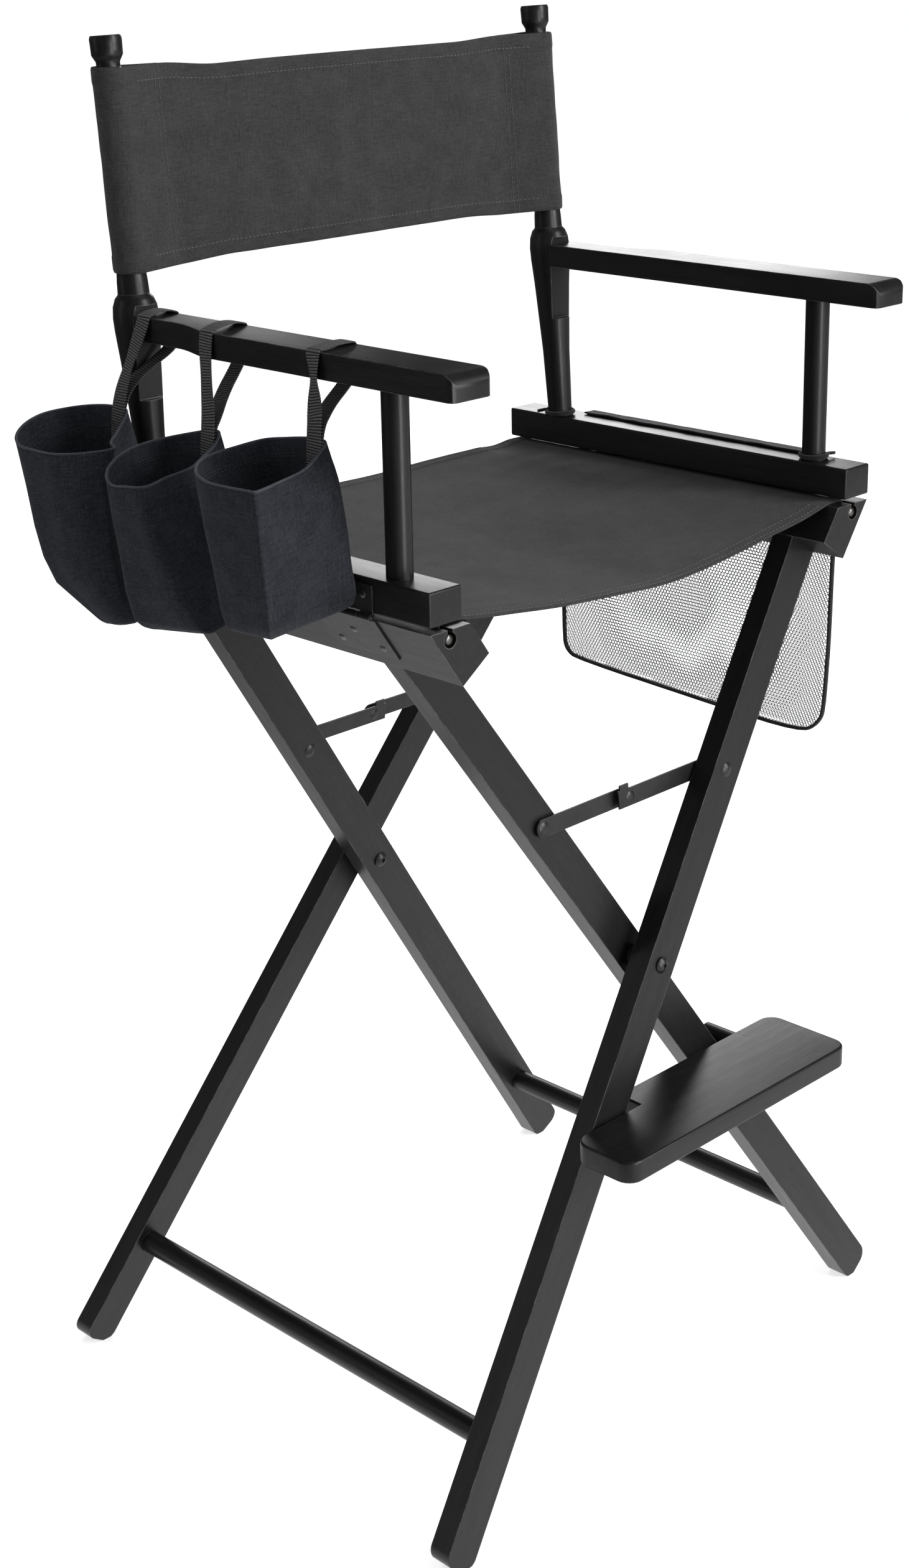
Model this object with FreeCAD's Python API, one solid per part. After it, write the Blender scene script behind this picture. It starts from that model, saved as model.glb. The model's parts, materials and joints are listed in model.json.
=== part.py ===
import FreeCAD, Part
import os
from math import sin, cos, tan, radians, sqrt
from FreeCAD import Vector

# Bar-height folding director chair with a footrest, three hanging tool pockets
# and a mesh bag. Real size in mm.
# +Z is up, the sitter faces -Y and the sitter's right is -X. In names "_r" and
# "_l" are the sitter's right and left. The pieces are modelled about the middle
# plane of the legs; save() moves them so that the origin is the bottom centre
# of the whole chair's bounding box.
# The right frame is the pair of legs that lean to -X going up, the left frame
# the pair that lean to +X. One leg of each makes the front cross, and one of
# each the rear cross. The front cross splays forward and the rear one rearward.

os.makedirs("parts", exist_ok=True)

# ---- driving dimensions ----------------------------------------------------
ORIGIN_SHIFT = Vector(26.5716, 5.8604, 0)   # the pockets make the box lopsided
RUN = 0.05             # running clearance on a radius
FIX = 0.02             # clearance of a fastener in its own piece

ARM_X = 259.0          # outer face of the arm base from the centre plane
ARM_W = 32.5
ARM_BOTTOM, ARM_TOP = 764.0, 790.0
ARM_FRONT, ARM_BACK = -198.0, 188.0

PIVOT_Z = 415.4        # height of the crossing bolts
PIVOT_R = 4.0
LEG_ANGLE = 34.7       # from vertical
LEG_W = 33.0           # wide face of a leg
LEG_T = 20.0
GAP = 11.0             # space between the two legs of a cross
CROSS_Y = 193.3        # outer faces of both crosses at the bolt height
FRONT_SLOPE = 0.09     # y per mm of height of the front cross
REAR_SLOPE = -0.148    # the same for the rear cross
FOOT_R = 11.0          # corner radius of a foot
FOOT_FLAT = 0.7        # taken off the rounded foot by the floor

RAIL_U = 374.4         # crossing bolt to the underside of a rail, along the leg
RAIL_FACE = 54.7       # length of the rail's outer face
RAIL_TOP = 759.0
RAIL_FRONT, RAIL_BACK = -197.5, ARM_BACK
ROD_X, ROD_Z, ROD_R = 238.5, 751.2, 3.6
ROD_FRONT, ROD_BACK = RAIL_FRONT + 1.5, RAIL_BACK - 1.5

FRONT_POST_X = ARM_X - ARM_W / 2
FRONT_POST_Y, FRONT_POST_R = -152.0, 10.0
BACK_POST_X, BACK_POST_Y = 235.6, 133.0     # centre at the top of the arm base
BACK_POST_LEAN = 4.5
BACK_POST_TOP = 1153.0
REST_BOTTOM, REST_T = 927.5, 19.5
REST_TOP = REST_BOTTOM + REST_T

SIN, COS = sin(radians(LEG_ANGLE)), cos(radians(LEG_ANGLE))
TAN_LEAN = tan(radians(BACK_POST_LEAN))

# front faces of the four legs, y at the bolt height
FACE_FRONT_L = -CROSS_Y
FACE_FRONT_R = FACE_FRONT_L + LEG_T + GAP
FACE_REAR_L = CROSS_Y - LEG_T
FACE_REAR_R = FACE_REAR_L - GAP - LEG_T


# ---- shape helpers ---------------------------------------------------------
def box(x0, x1, y0, y1, z0, z1):
    return Part.makeBox(x1 - x0, y1 - y0, z1 - z0, Vector(x0, y0, z0))


def cyl(radius, length, start, direction):
    return Part.makeCylinder(radius, length, start, direction)


def cyl_y(x, z, radius, y0, y1):
    return cyl(radius, y1 - y0, Vector(x, y0, z), Vector(0, 1, 0))


def cyl_z(x, y, radius, z0, height):
    return cyl(radius, height, Vector(x, y, z0), Vector(0, 0, 1))


def prism(corners, sweep):
    return Part.Face(Part.makePolygon(corners + corners[:1])).extrude(sweep)


def prism_xz(points, y0, y1):
    return prism([Vector(x, y0, z) for x, z in points], Vector(0, y1 - y0, 0))


def prism_xy(points, z0, z1):
    return prism([Vector(x, y, z0) for x, y in points], Vector(0, 0, z1 - z0))


def prism_yz(points, x0, x1):
    return prism([Vector(x0, y, z) for y, z in points], Vector(x1 - x0, 0, 0))


def join(shapes):
    result = shapes[0]
    for shape in shapes[1:]:
        result = result.fuse(shape)
    return result


def fuse(shapes):
    return join(shapes).removeSplitter()


def cut(shape, tools):
    for tool in tools:
        shape = shape.cut(tool)
    return shape


def mirror(shape):
    return shape.mirror(Vector(0, 0, 0), Vector(1, 0, 0))


def fillet(shape, radius, wanted):
    """Round the wanted edges."""
    edges = [edge for edge in shape.Edges if wanted(edge)]
    # guards against a fillet the kernel cannot make: the edges then stay sharp
    try:
        rounded = shape.makeFillet(radius, edges)
        if rounded.isValid() and rounded.Volume > 0:
            return rounded
    except Exception:
        pass
    return shape


def dome(radius, height, base, direction):
    """Low domed head standing on base and rising along direction."""
    ball_r = (radius * radius + height * height) / (2 * height)
    ball = Part.makeSphere(ball_r, base + direction * (height - ball_r))
    return ball.common(cyl(radius, height + 0.01, base, direction))


def screw(seat, direction, head_r=3.3, head_h=1.1, shank_r=1.6, shank=11.0):
    """Round-head screw: head rising along direction, shank the other way."""
    head = dome(head_r, head_h, seat, direction)
    return head.fuse(cyl(shank_r, shank, seat - direction * shank, direction))


def save(name, shape):
    if len(shape.Solids) == 1:
        shape = shape.Solids[0]
    assert shape.isValid(), name
    shape = shape.copy()
    shape.translate(ORIGIN_SHIFT)
    shape.exportStep("parts/%s.step" % name)


def save_pair(name, right):
    """Save a right-hand piece and its mirror image."""
    save(name + "_r", right)
    save(name + "_l", mirror(right))


# ---- positions on the sloping pieces ---------------------------------------
def leg_point(side, u, v=0.0):
    """(x, z) on a leg. side is -1 in the right frame and +1 in the left. u runs
    up the leg from the crossing bolt, v across it towards its upper side."""
    return side * (SIN * u - COS * v), PIVOT_Z + COS * u + SIN * v


def cross_y(face_y, slope, z):
    """y at height z of a leg face that passes face_y at the bolt height."""
    return face_y + slope * (z - PIVOT_Z)


def cross_normal(slope):
    """Rearward normal of the leg faces of a cross."""
    return Vector(0, 1, -slope).normalize()


def square_t(thickness, slope):
    """Thickness square to the cross, from the thickness along y."""
    return thickness / sqrt(1 + slope * slope)


def back_post_y(z):
    return BACK_POST_Y + TAN_LEAN * (z - ARM_TOP)


REST_END = back_post_y(REST_BOTTOM + REST_T / 2) - 12.6    # rear end of the armrest


# ---- arms (right side, mirrored for the left) ------------------------------
def arm_base():
    base = box(-ARM_X, -ARM_X + ARM_W, ARM_FRONT, ARM_BACK, ARM_BOTTOM, ARM_TOP)
    base = fillet(base, 1.6, lambda edge: True)
    for y in HINGE_YS:
        base = cut(base, upper_bores(y))
    return base


def front_post():
    return cyl_z(-FRONT_POST_X, FRONT_POST_Y, FRONT_POST_R, ARM_TOP, REST_BOTTOM - ARM_TOP)


# turned profile: (height above the arm base before scaling, radius)
BACK_POST_PROFILE = [
    (0, 10.7), (60, 12.2), (118, 15.6), (143, 17.6), (153, 18.0), (162, 17.2),
    (168, 15.0), (171, 12.4), (181, 12.0), (187, 11.5), (338, 11.5), (341, 9.0),
    (345, 9.2), (350, 12.0), (362, 12.4), (364.4, 11.6)]


def back_post():
    """Turned post leaning rearward."""
    profile_h = BACK_POST_PROFILE[-1][0]
    scale = (BACK_POST_TOP - ARM_TOP) / cos(radians(BACK_POST_LEAN)) / profile_h
    outline = [Vector(0, 0, 0)]
    outline += [Vector(radius, 0, height * scale) for height, radius in BACK_POST_PROFILE]
    outline += [Vector(0, 0, profile_h * scale)]
    face = Part.Face(Part.makePolygon(outline + outline[:1]))
    post = face.revolve(Vector(0, 0, 0), Vector(0, 0, 1), 360).Solids[0]
    post.rotate(Vector(0, 0, 0), Vector(1, 0, 0), -BACK_POST_LEAN)
    post.translate(Vector(-BACK_POST_X, BACK_POST_Y, ARM_TOP))
    # level foot, and a flat on the front of the shoulder for the armrest end
    post = post.cut(box(-400, 400, 0, 400, ARM_TOP - 40, ARM_TOP))
    flat = box(-BACK_POST_X - 30, -BACK_POST_X + 30, REST_END - 40, REST_END, 880, 953)
    return post.cut(flat).Solids[0]


REST_FRONT = -226.6
REST_INNER, REST_NARROW, REST_WIDE = -221.3, -249.0, -260.2    # x of the side faces
STEP_BACK, STEP_LENGTH = 78, 50     # S step between narrow and wide
NOSE_R = 11                         # bullnose on the top front edge


def armrest():
    """Narrow rear part, S step on the outer side, wide front paddle."""
    points = [(REST_INNER, REST_END), (REST_NARROW, REST_END)]
    for i in range(13):
        t = i / 12.0
        ease = 3 * t * t - 2 * t * t * t
        points.append((REST_NARROW + (REST_WIDE - REST_NARROW) * ease,
                       STEP_BACK - STEP_LENGTH * t))
    points += [
        (REST_WIDE, REST_FRONT + 5), (REST_WIDE + 1.5, REST_FRONT + 1.5),
        (REST_WIDE + 5, REST_FRONT), (REST_INNER - 5, REST_FRONT),
        (REST_INNER - 1.5, REST_FRONT + 1.5), (REST_INNER, REST_FRONT + 5)]
    rest = prism_xy(points, REST_BOTTOM, REST_TOP)
    nose = box(-300, -200, REST_FRONT - 1, REST_FRONT + NOSE_R, REST_TOP - NOSE_R, REST_TOP + 1)
    nose = nose.cut(cyl(NOSE_R, 100, Vector(-300, REST_FRONT + NOSE_R, REST_TOP - NOSE_R),
                        Vector(1, 0, 0)))
    rest = rest.cut(nose).Solids[0]
    # the long top edges
    return fillet(rest, 1.5, lambda edge: abs(edge.BoundBox.ZMin - REST_TOP) < 1e-4
                  and edge.BoundBox.YLength > 40)


# ---- hinges between arm base and rail (right side) -------------------------
HINGE_X, HINGE_Z = -261.8, 761.5    # pin axis
HINGE_YS = (-108.0, 98.0)           # front and rear hinge centres
HINGE_HALF = 33.0                   # half length of a leaf
LOWER_HALF = 19.5                   # half length of the lower leaf's knuckle
UPPER_START = 19.8                  # start of the upper leaf's knuckles
LEAF_T = 1.4
KNUCKLE_R, PIN_R = 2.6, 1.2
HINGE_SCREW_R = 1.6
UPPER_SCREW_Y, UPPER_SCREW_Z = 23, 777.5
# (distance down the rail face, y from the hinge centre, shank, bore length)
LOWER_SCREWS = ((32.5, -22, 11.0, 14.5), (32.5, 22, 11.0, 14.5), (17.4, 0, 5.5, 6.7))
RAIL_OUTWARD = Vector(-COS, 0, -SIN)    # normal of the rail's outer face


def rail_face(down, out):
    """(x, z) a distance down the rail's outer face from its top, and out from it."""
    x, z = leg_point(-1, RAIL_U + RAIL_FACE, -LEG_W / 2)
    return x + SIN * down - COS * out, z - COS * down - SIN * out


def rail_face_vector(down, y, out):
    x, z = rail_face(down, out)
    return Vector(x, y, z)


def upper_bores(hinge_y):
    return [cyl(HINGE_SCREW_R + FIX, 14,
                Vector(-ARM_X - 2, hinge_y + s * UPPER_SCREW_Y, UPPER_SCREW_Z), Vector(1, 0, 0))
            for s in (-1, 1)]


def lower_bores(hinge_y):
    return [cyl(HINGE_SCREW_R + FIX, bore, rail_face_vector(down, hinge_y + y, 2.5),
                RAIL_OUTWARD * -1)
            for down, y, shank, bore in LOWER_SCREWS]


def hinge_upper(hinge_y):
    """Leaf on the arm base, with a knuckle at each end of the pin."""
    spans = [(hinge_y - HINGE_HALF, hinge_y - UPPER_START),
             (hinge_y + UPPER_START, hinge_y + HINGE_HALF)]
    leaf = box(-ARM_X - LEAF_T, -ARM_X, hinge_y - HINGE_HALF, hinge_y + HINGE_HALF,
               HINGE_Z + 1.2, 785.0)
    leaf = leaf.cut(box(-ARM_X - 3, -ARM_X + 1, hinge_y - UPPER_START, hinge_y + UPPER_START,
                        HINGE_Z - 1, HINGE_Z + 3.6))
    knuckles = [cyl_y(HINGE_X, HINGE_Z, KNUCKLE_R, y0, y1) for y0, y1 in spans]
    webs = [box(HINGE_X, -ARM_X, y0, y1, HINGE_Z, HINGE_Z + 2.4) for y0, y1 in spans]
    leaf = fuse([leaf] + knuckles + webs)
    pin_bore = cyl_y(HINGE_X, HINGE_Z, PIN_R + FIX,
                     hinge_y - HINGE_HALF - 1, hinge_y + HINGE_HALF + 1)
    return cut(leaf, [pin_bore] + upper_bores(hinge_y))


def hinge_lower(hinge_y):
    """Leaf on the rail, with the middle knuckle turning on the pin."""
    leaf = prism_xz([rail_face(-0.5, 0), rail_face(42, 0),
                     rail_face(42, LEAF_T), rail_face(-0.5, LEAF_T)],
                    hinge_y - HINGE_HALF, hinge_y + HINGE_HALF)
    middle = (hinge_y - LOWER_HALF, hinge_y + LOWER_HALF)
    tab = prism_xz([rail_face(-4.4, 0.3), rail_face(0, 0),
                    rail_face(0, LEAF_T), rail_face(-4.4, 1.67)], *middle)
    leaf = fuse([leaf, tab, cyl_y(HINGE_X, HINGE_Z, KNUCKLE_R, *middle)])
    pin_bore = cyl_y(HINGE_X, HINGE_Z, PIN_R + RUN,
                     hinge_y - HINGE_HALF - 1, hinge_y + HINGE_HALF + 1)
    return cut(leaf, [pin_bore] + lower_bores(hinge_y))


def hinge_pins():
    half = HINGE_HALF + 0.4
    return Part.makeCompound([cyl_y(HINGE_X, HINGE_Z, PIN_R, y - half, y + half)
                              for y in HINGE_YS])


def upper_screws():
    return Part.makeCompound([
        screw(Vector(-ARM_X - LEAF_T, hinge_y + s * UPPER_SCREW_Y, UPPER_SCREW_Z),
              Vector(-1, 0, 0))
        for hinge_y in HINGE_YS for s in (-1, 1)])


def lower_screws():
    return Part.makeCompound([
        screw(rail_face_vector(down, hinge_y + y, LEAF_T), RAIL_OUTWARD, shank=shank)
        for hinge_y in HINGE_YS for down, y, shank, bore in LOWER_SCREWS])


# ---- seat rail and hem rod (right side) ------------------------------------
ROD_SCREW_R = 1.2


def rail_corners(v):
    """Bottom and top corner of one face of the rail."""
    x, z = leg_point(-1, RAIL_U, v)
    return (x, z), (x - SIN * (RAIL_TOP - z) / COS, RAIL_TOP)


def seat_rail():
    """Bar on the leg tops, with a groove and a slot up from it for the hem rod."""
    outer_bottom, outer_top = rail_corners(-LEG_W / 2)
    inner_bottom, inner_top = rail_corners(LEG_W / 2)
    rail = prism_xz([outer_top, outer_bottom, inner_bottom, inner_top], RAIL_FRONT, RAIL_BACK)
    y0, y1 = RAIL_FRONT - 1, RAIL_BACK + 1
    rail = rail.cut(cyl_y(-ROD_X, ROD_Z, 6.0, y0, y1))
    rail = rail.cut(box(-ROD_X - 2.6, -ROD_X + 2.6, y0, y1, ROD_Z, RAIL_TOP + 1))
    for y in HINGE_YS:
        rail = cut(rail, lower_bores(y))
    return rail.Solids[0]


def seat_rod():
    rod = cyl_y(-ROD_X, ROD_Z, ROD_R, ROD_FRONT, ROD_BACK)
    bore_r = ROD_SCREW_R + FIX
    return cut(rod, [cyl_y(-ROD_X, ROD_Z, bore_r, ROD_FRONT - 1, ROD_FRONT + 12),
                     cyl_y(-ROD_X, ROD_Z, bore_r, ROD_BACK - 12, ROD_BACK + 1)])


def seat_rod_screws():
    return Part.makeCompound([
        screw(Vector(-ROD_X, y, ROD_Z), Vector(0, out, 0),
              head_r=3.4, head_h=1.2, shank_r=ROD_SCREW_R, shank=10)
        for y, out in ((ROD_FRONT, -1), (ROD_BACK, 1))])


# ---- legs ------------------------------------------------------------------
def sloping_slab(face_y, slope):
    """Slab as thick as a leg that holds one leg of a cross."""
    z0, z1 = -60.0, 900.0
    y0, y1 = cross_y(face_y, slope, z0), cross_y(face_y, slope, z1)
    return prism_yz([(y0, z0), (y1, z1), (y1 + LEG_T, z1), (y0 + LEG_T, z0)], -500, 500)


def leg(side, face_y, slope, holes):
    """Straight bar with rounded foot corners and a small flat on the floor."""
    arc_v = LEG_W / 2 - FOOT_R
    arc_u = -(PIVOT_Z - FOOT_R + FOOT_FLAT - SIN * arc_v) / COS
    steps = 8
    angles = [radians(90.0 * i / steps) for i in range(steps + 1)]
    points = [leg_point(side, RAIL_U, LEG_W / 2), leg_point(side, RAIL_U, -LEG_W / 2)]
    points += [leg_point(side, arc_u - FOOT_R * sin(a), -arc_v - FOOT_R * cos(a))
               for a in angles]
    points += [leg_point(side, arc_u - FOOT_R * cos(a), arc_v + FOOT_R * sin(a))
               for a in angles]
    bar = prism_xz(points, -400, 400).common(sloping_slab(face_y, slope))
    return cut(bar.common(box(-500, 500, -500, 500, 0, 900)), holes)


# ---- crossing bolts: fixed in the left frame, running in the right ---------
def pivot_hole(clearance):
    return cyl_y(0, PIVOT_Z, PIVOT_R + clearance, -400, 400)


def pivot_bolt(front_leg, rear_leg, offset):
    """Bolt through two legs given by their front faces. Head and nut stand off
    the faces by offset; the domed head has a round recess."""
    head_y = front_leg - offset
    nut_y = rear_leg + LEG_T + offset
    head = dome(7.0, 3.2, Vector(0, head_y, PIVOT_Z), Vector(0, -1, 0))
    head = head.cut(cyl_y(0, PIVOT_Z, 2.2, head_y - 4, head_y - 1))
    return join([head, cyl_y(0, PIVOT_Z, PIVOT_R, head_y, nut_y),
                 cyl_y(0, PIVOT_Z, 6.5, nut_y, nut_y + 4.5)])


def pivot_spacer(front_leg, rear_leg, offset):
    ring = cyl_y(0, PIVOT_Z, 9.0, front_leg + LEG_T + offset, rear_leg - offset)
    return ring.cut(pivot_hole(FIX))


# ---- stretchers ------------------------------------------------------------
STRETCH_U = -400.0     # position along the legs
STRETCH_R = 10.0
SOCKET = 10.0          # depth in each leg


def stretcher(side, front_leg, rear_leg):
    """Round bar from the front leg to the rear leg of a frame, and its hole."""
    x, z = leg_point(side, STRETCH_U)
    y0 = cross_y(front_leg, FRONT_SLOPE, z) + LEG_T - SOCKET
    y1 = cross_y(rear_leg, REAR_SLOPE, z) + SOCKET
    return (cyl_y(x, z, STRETCH_R, y0, y1),
            cyl_y(x, z, STRETCH_R + FIX, y0 - FIX, y1 + FIX))


# ---- folding stays: two links per cross, on bolts square to the legs -------
STAY_U = 169.4         # bolt position along the legs
STAY_T, STAY_W = 1.6, 15.0
STAY_BOLT_R, STAY_RIVET_R = 3.0, 2.5
# layers of the links, measured along the normal from the front leg's back face
FRONT_LINK, REAR_LINK = 2.0, 7.5
FRONT_LINK_BACK, REAR_LINK_BACK = FRONT_LINK + STAY_T, REAR_LINK + STAY_T
LIFT = 0.05            # stands a head off the link


def place_on_cross(flat, side, slope, origin):
    """Put a flat piece drawn in XY onto a cross: X towards side, Y up the
    slope, Z along the normal."""
    up = Vector(0, slope, 1).normalize()
    depth = cross_normal(slope)
    if side > 0:
        # these axes are left-handed, so the piece is mirrored and set along -normal
        flat = flat.mirror(Vector(0, 0, 0), Vector(0, 0, 1))
        depth = depth * -1
    matrix = FreeCAD.Matrix(side, up.x, depth.x, origin.x,
                            0, up.y, depth.y, origin.y,
                            0, up.z, depth.z, origin.z,
                            0, 0, 0, 1)
    flat = flat.copy()
    flat.transformShape(matrix)
    return flat


def stay_link(square_end):
    """Flat link from the middle rivet at the origin to its bolt along +X."""
    half = STAY_W / 2
    reach = SIN * STAY_U
    bar = Part.makeBox(reach, STAY_W, STAY_T)
    bar.translate(Vector(0, -half, 0))
    pieces = [bar, cyl_z(reach, 0, half, 0, STAY_T)]
    if square_end:
        pieces.append(box(-half - 6, 0, -half, half, 0, STAY_T))
        pieces.append(box(-half - 4, -half + 6, half - 0.5, half + 4.5, 0, STAY_T))
    else:
        pieces.append(cyl_z(0, 0, half, 0, STAY_T))
    return cut(fuse(pieces), [cyl_z(reach, 0, STAY_BOLT_R + RUN, -5, 20),
                              cyl_z(0, 0, STAY_RIVET_R + FIX, -5, 20)])


def stay_set(face_y, slope, front_side):
    """Links, rivet, bolts and bolt holes of one cross. face_y is the front leg's
    front face, front_side the side (-1 right, +1 left) where its bolt is."""
    x, z = leg_point(1, STAY_U)
    y = cross_y(face_y, slope, z) + LEG_T
    front = Vector(front_side * x, y, z)
    rear = Vector(-front_side * x, y, z)
    middle = Vector(0, y, z)
    normal = cross_normal(slope)
    forward = normal * -1
    gap, leg_t = square_t(GAP, slope), square_t(LEG_T, slope)

    def round_bar(radius, centre, start, length):
        return cyl(radius, length, centre + normal * start, normal)

    def head(radius, height, centre, start, direction):
        return dome(radius, height, centre + normal * start, direction)

    return {
        "front_link": place_on_cross(stay_link(True), front_side, slope,
                                     middle + normal * FRONT_LINK),
        "rear_link": place_on_cross(stay_link(False), -front_side, slope,
                                    middle + normal * REAR_LINK),
        # the rivet is in two pieces: head with stub, and tail
        "rivet": join([
            round_bar(STAY_RIVET_R, middle, FRONT_LINK, 5.6 - FRONT_LINK),
            head(5.2, 1.4, middle, FRONT_LINK, forward)]),
        "tail": join([
            round_bar(STAY_RIVET_R, middle, REAR_LINK, STAY_T + LIFT),
            head(5.2, 1.2, middle, REAR_LINK_BACK + LIFT, normal)]),
        # head on the leg's front face, shank, collar, tail behind the link
        "front_bolt": join([
            head(6.5, 2.6, front, -leg_t, forward),
            round_bar(STAY_BOLT_R, front, -leg_t, leg_t + FRONT_LINK_BACK + LIFT),
            round_bar(5.0, front, 0, FRONT_LINK - 0.1),
            head(5.2, 1.6, front, FRONT_LINK_BACK + LIFT, normal)]),
        # head in front of the link, shank, collar, head on the leg's back face
        "rear_bolt": join([
            head(6.0, 1.6, rear, REAR_LINK - LIFT, forward),
            round_bar(STAY_BOLT_R, rear, REAR_LINK - LIFT, gap - REAR_LINK + LIFT + leg_t),
            round_bar(5.0, rear, REAR_LINK_BACK + 0.1, gap - REAR_LINK_BACK - 0.1),
            head(6.5, 2.6, rear, gap + leg_t, normal)]),
        "front_hole": round_bar(STAY_BOLT_R + FIX, front, -30, 40),
        "rear_hole": round_bar(STAY_BOLT_R + FIX, rear, gap - 2, 40)}


# ---- footrest: turns on a bolt in the left frame's front leg ---------------
BOARD_BOTTOM, BOARD_T = 289.2, 19.0
BOARD_Z = BOARD_BOTTOM + BOARD_T / 2
BOARD_X0, BOARD_X1 = -122.0, 163.0
BOARD_FRONT, BOARD_BACK = -266.5, -180.5
NOTCH_X, NOTCH_Y = -40.0, -205.4    # the rear edge is set forward where x < NOTCH_X
BOARD_CORNER_R = 14.0
PEG_R = 9.0
PEG_SOCKET = 15
# the peg lies just outside the lower part of the right frame's front leg
PEG_X = (PIVOT_Z - BOARD_Z) * SIN / COS + (LEG_W / 2 + PEG_R + 0.15) / COS
REST_BOLT_R = 3.0
# where the bolt leaves the front face of the leg
REST_BOLT = Vector(leg_point(1, (BOARD_Z - PIVOT_Z) / COS)[0],
                   cross_y(FACE_FRONT_L, FRONT_SLOPE, BOARD_Z), BOARD_Z)


def rest_bolt_bar(clearance, start, end):
    """Cylinder on the bolt's axis, from start to end behind the leg face."""
    normal = cross_normal(FRONT_SLOPE)
    return cyl(REST_BOLT_R + clearance, end - start, REST_BOLT + normal * start, normal)


def footrest_board():
    def corner(x, y, start):
        angles = [radians(start + 90.0 * i / 6) for i in range(7)]
        return [(x + BOARD_CORNER_R * cos(a), y + BOARD_CORNER_R * sin(a)) for a in angles]

    x0, x1 = BOARD_X0 + BOARD_CORNER_R, BOARD_X1 - BOARD_CORNER_R
    points = corner(x0, BOARD_FRONT + BOARD_CORNER_R, 180)
    points += corner(x1, BOARD_FRONT + BOARD_CORNER_R, 270)
    points += corner(x1, BOARD_BACK - BOARD_CORNER_R, 0)
    points += [(NOTCH_X, BOARD_BACK), (NOTCH_X, NOTCH_Y)]
    points += corner(x0, NOTCH_Y - BOARD_CORNER_R, 90)
    board = prism_xy(points, BOARD_BOTTOM, BOARD_BOTTOM + BOARD_T)
    board = fillet(board, 2.0, lambda edge: abs(edge.BoundBox.ZLength) < 1e-6)
    board = board.cut(cyl_y(PEG_X, BOARD_Z, PEG_R + FIX, BOARD_BACK - PEG_SOCKET - FIX, -140))
    return board.cut(rest_bolt_bar(RUN, -28.0, 4.0)).Solids[0]


def footrest_peg():
    return cyl_y(PEG_X, BOARD_Z, PEG_R, BOARD_BACK - PEG_SOCKET, -150.0)


def footrest_bolt():
    normal = cross_normal(FRONT_SLOPE)
    leg_t = square_t(LEG_T, FRONT_SLOPE)
    return join([rest_bolt_bar(0, -27.0, leg_t + 1.0),
                 dome(6.5, 3.0, REST_BOLT + normal * (leg_t + 0.05), normal)])


# ---- canvas ----------------------------------------------------------------
SEAT_T = 1.5
SEAT_Y = 186.0         # half depth of the seat
SEAT_SAG = 22.0
BACK_Z0, BACK_Z1 = 977.0, 1130.0


def seat_canvas():
    """Sagging sheet over the rails, with hems round the rods in the grooves."""
    span = -rail_corners(LEG_W / 2)[1][0]
    under = RAIL_TOP + 0.5
    edge = ROD_X - 0.3
    steps = 24
    sag = []
    for i in range(steps + 1):
        x = -span + 2 * span * i / steps
        sag.append((x, under - SEAT_SAG * (1 - (x / span) ** 2)))
    points = [(-edge, under)] + sag + [(edge, under), (edge, under + SEAT_T)]
    points += [(x, z + SEAT_T) for x, z in sag[::-1]] + [(-edge, under + SEAT_T)]
    pieces = [prism_xz(points, -SEAT_Y, SEAT_Y)]
    for x in (-ROD_X, ROD_X):
        hem = cyl_y(x, ROD_Z, 5.3, -SEAT_Y, SEAT_Y)
        pieces.append(hem.cut(cyl_y(x, ROD_Z, ROD_R + 0.1, -SEAT_Y - 1, SEAT_Y + 1)))
        pieces.append(box(x - 1.7, x + 1.7, -SEAT_Y, SEAT_Y, ROD_Z + 4.2, under + SEAT_T))
    return fuse(pieces).Solids[0]


def leaning_prism(points, z0, z1):
    """Plan outline, with y from the back posts' axis, swept along their lean."""
    y0, y1 = back_post_y(z0), back_post_y(z1)
    return prism([Vector(x, y + y0, z0) for x, y in points], Vector(0, y1 - y0, z1 - z0))


def sleeve(side, radius, tip, half_t, z0, z1):
    """Solid round a back post, tapering to a flat tail towards the middle."""
    angles = [radians(73 + 214.0 * i / 24) for i in range(25)]
    points = [(-radius * cos(a) * side, radius * sin(a)) for a in angles]
    points += [(-side * tip, -half_t), (-side * tip, half_t)]
    return leaning_prism([(side * BACK_POST_X + x, y) for x, y in points], z0, z1)


def back_canvas():
    """Sleeves round the posts and a single panel between them."""
    pieces = []
    for side in (-1, 1):
        outer = sleeve(side, 13.4, 48, 1.3, BACK_Z0, BACK_Z1)
        pieces.append(outer.cut(sleeve(side, 12.1, 43, 0.4, BACK_Z0 - 1, BACK_Z1 + 1)))
    x, y = BACK_POST_X - 46, 0.75
    pieces.append(leaning_prism([(-x, -y), (x, -y), (x, y), (-x, y)], BACK_Z0, BACK_Z1))
    return fuse(pieces).Solids[0]


# ---- tool pockets outside the right arm ------------------------------------
POCKET_WALL = 3.2
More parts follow.
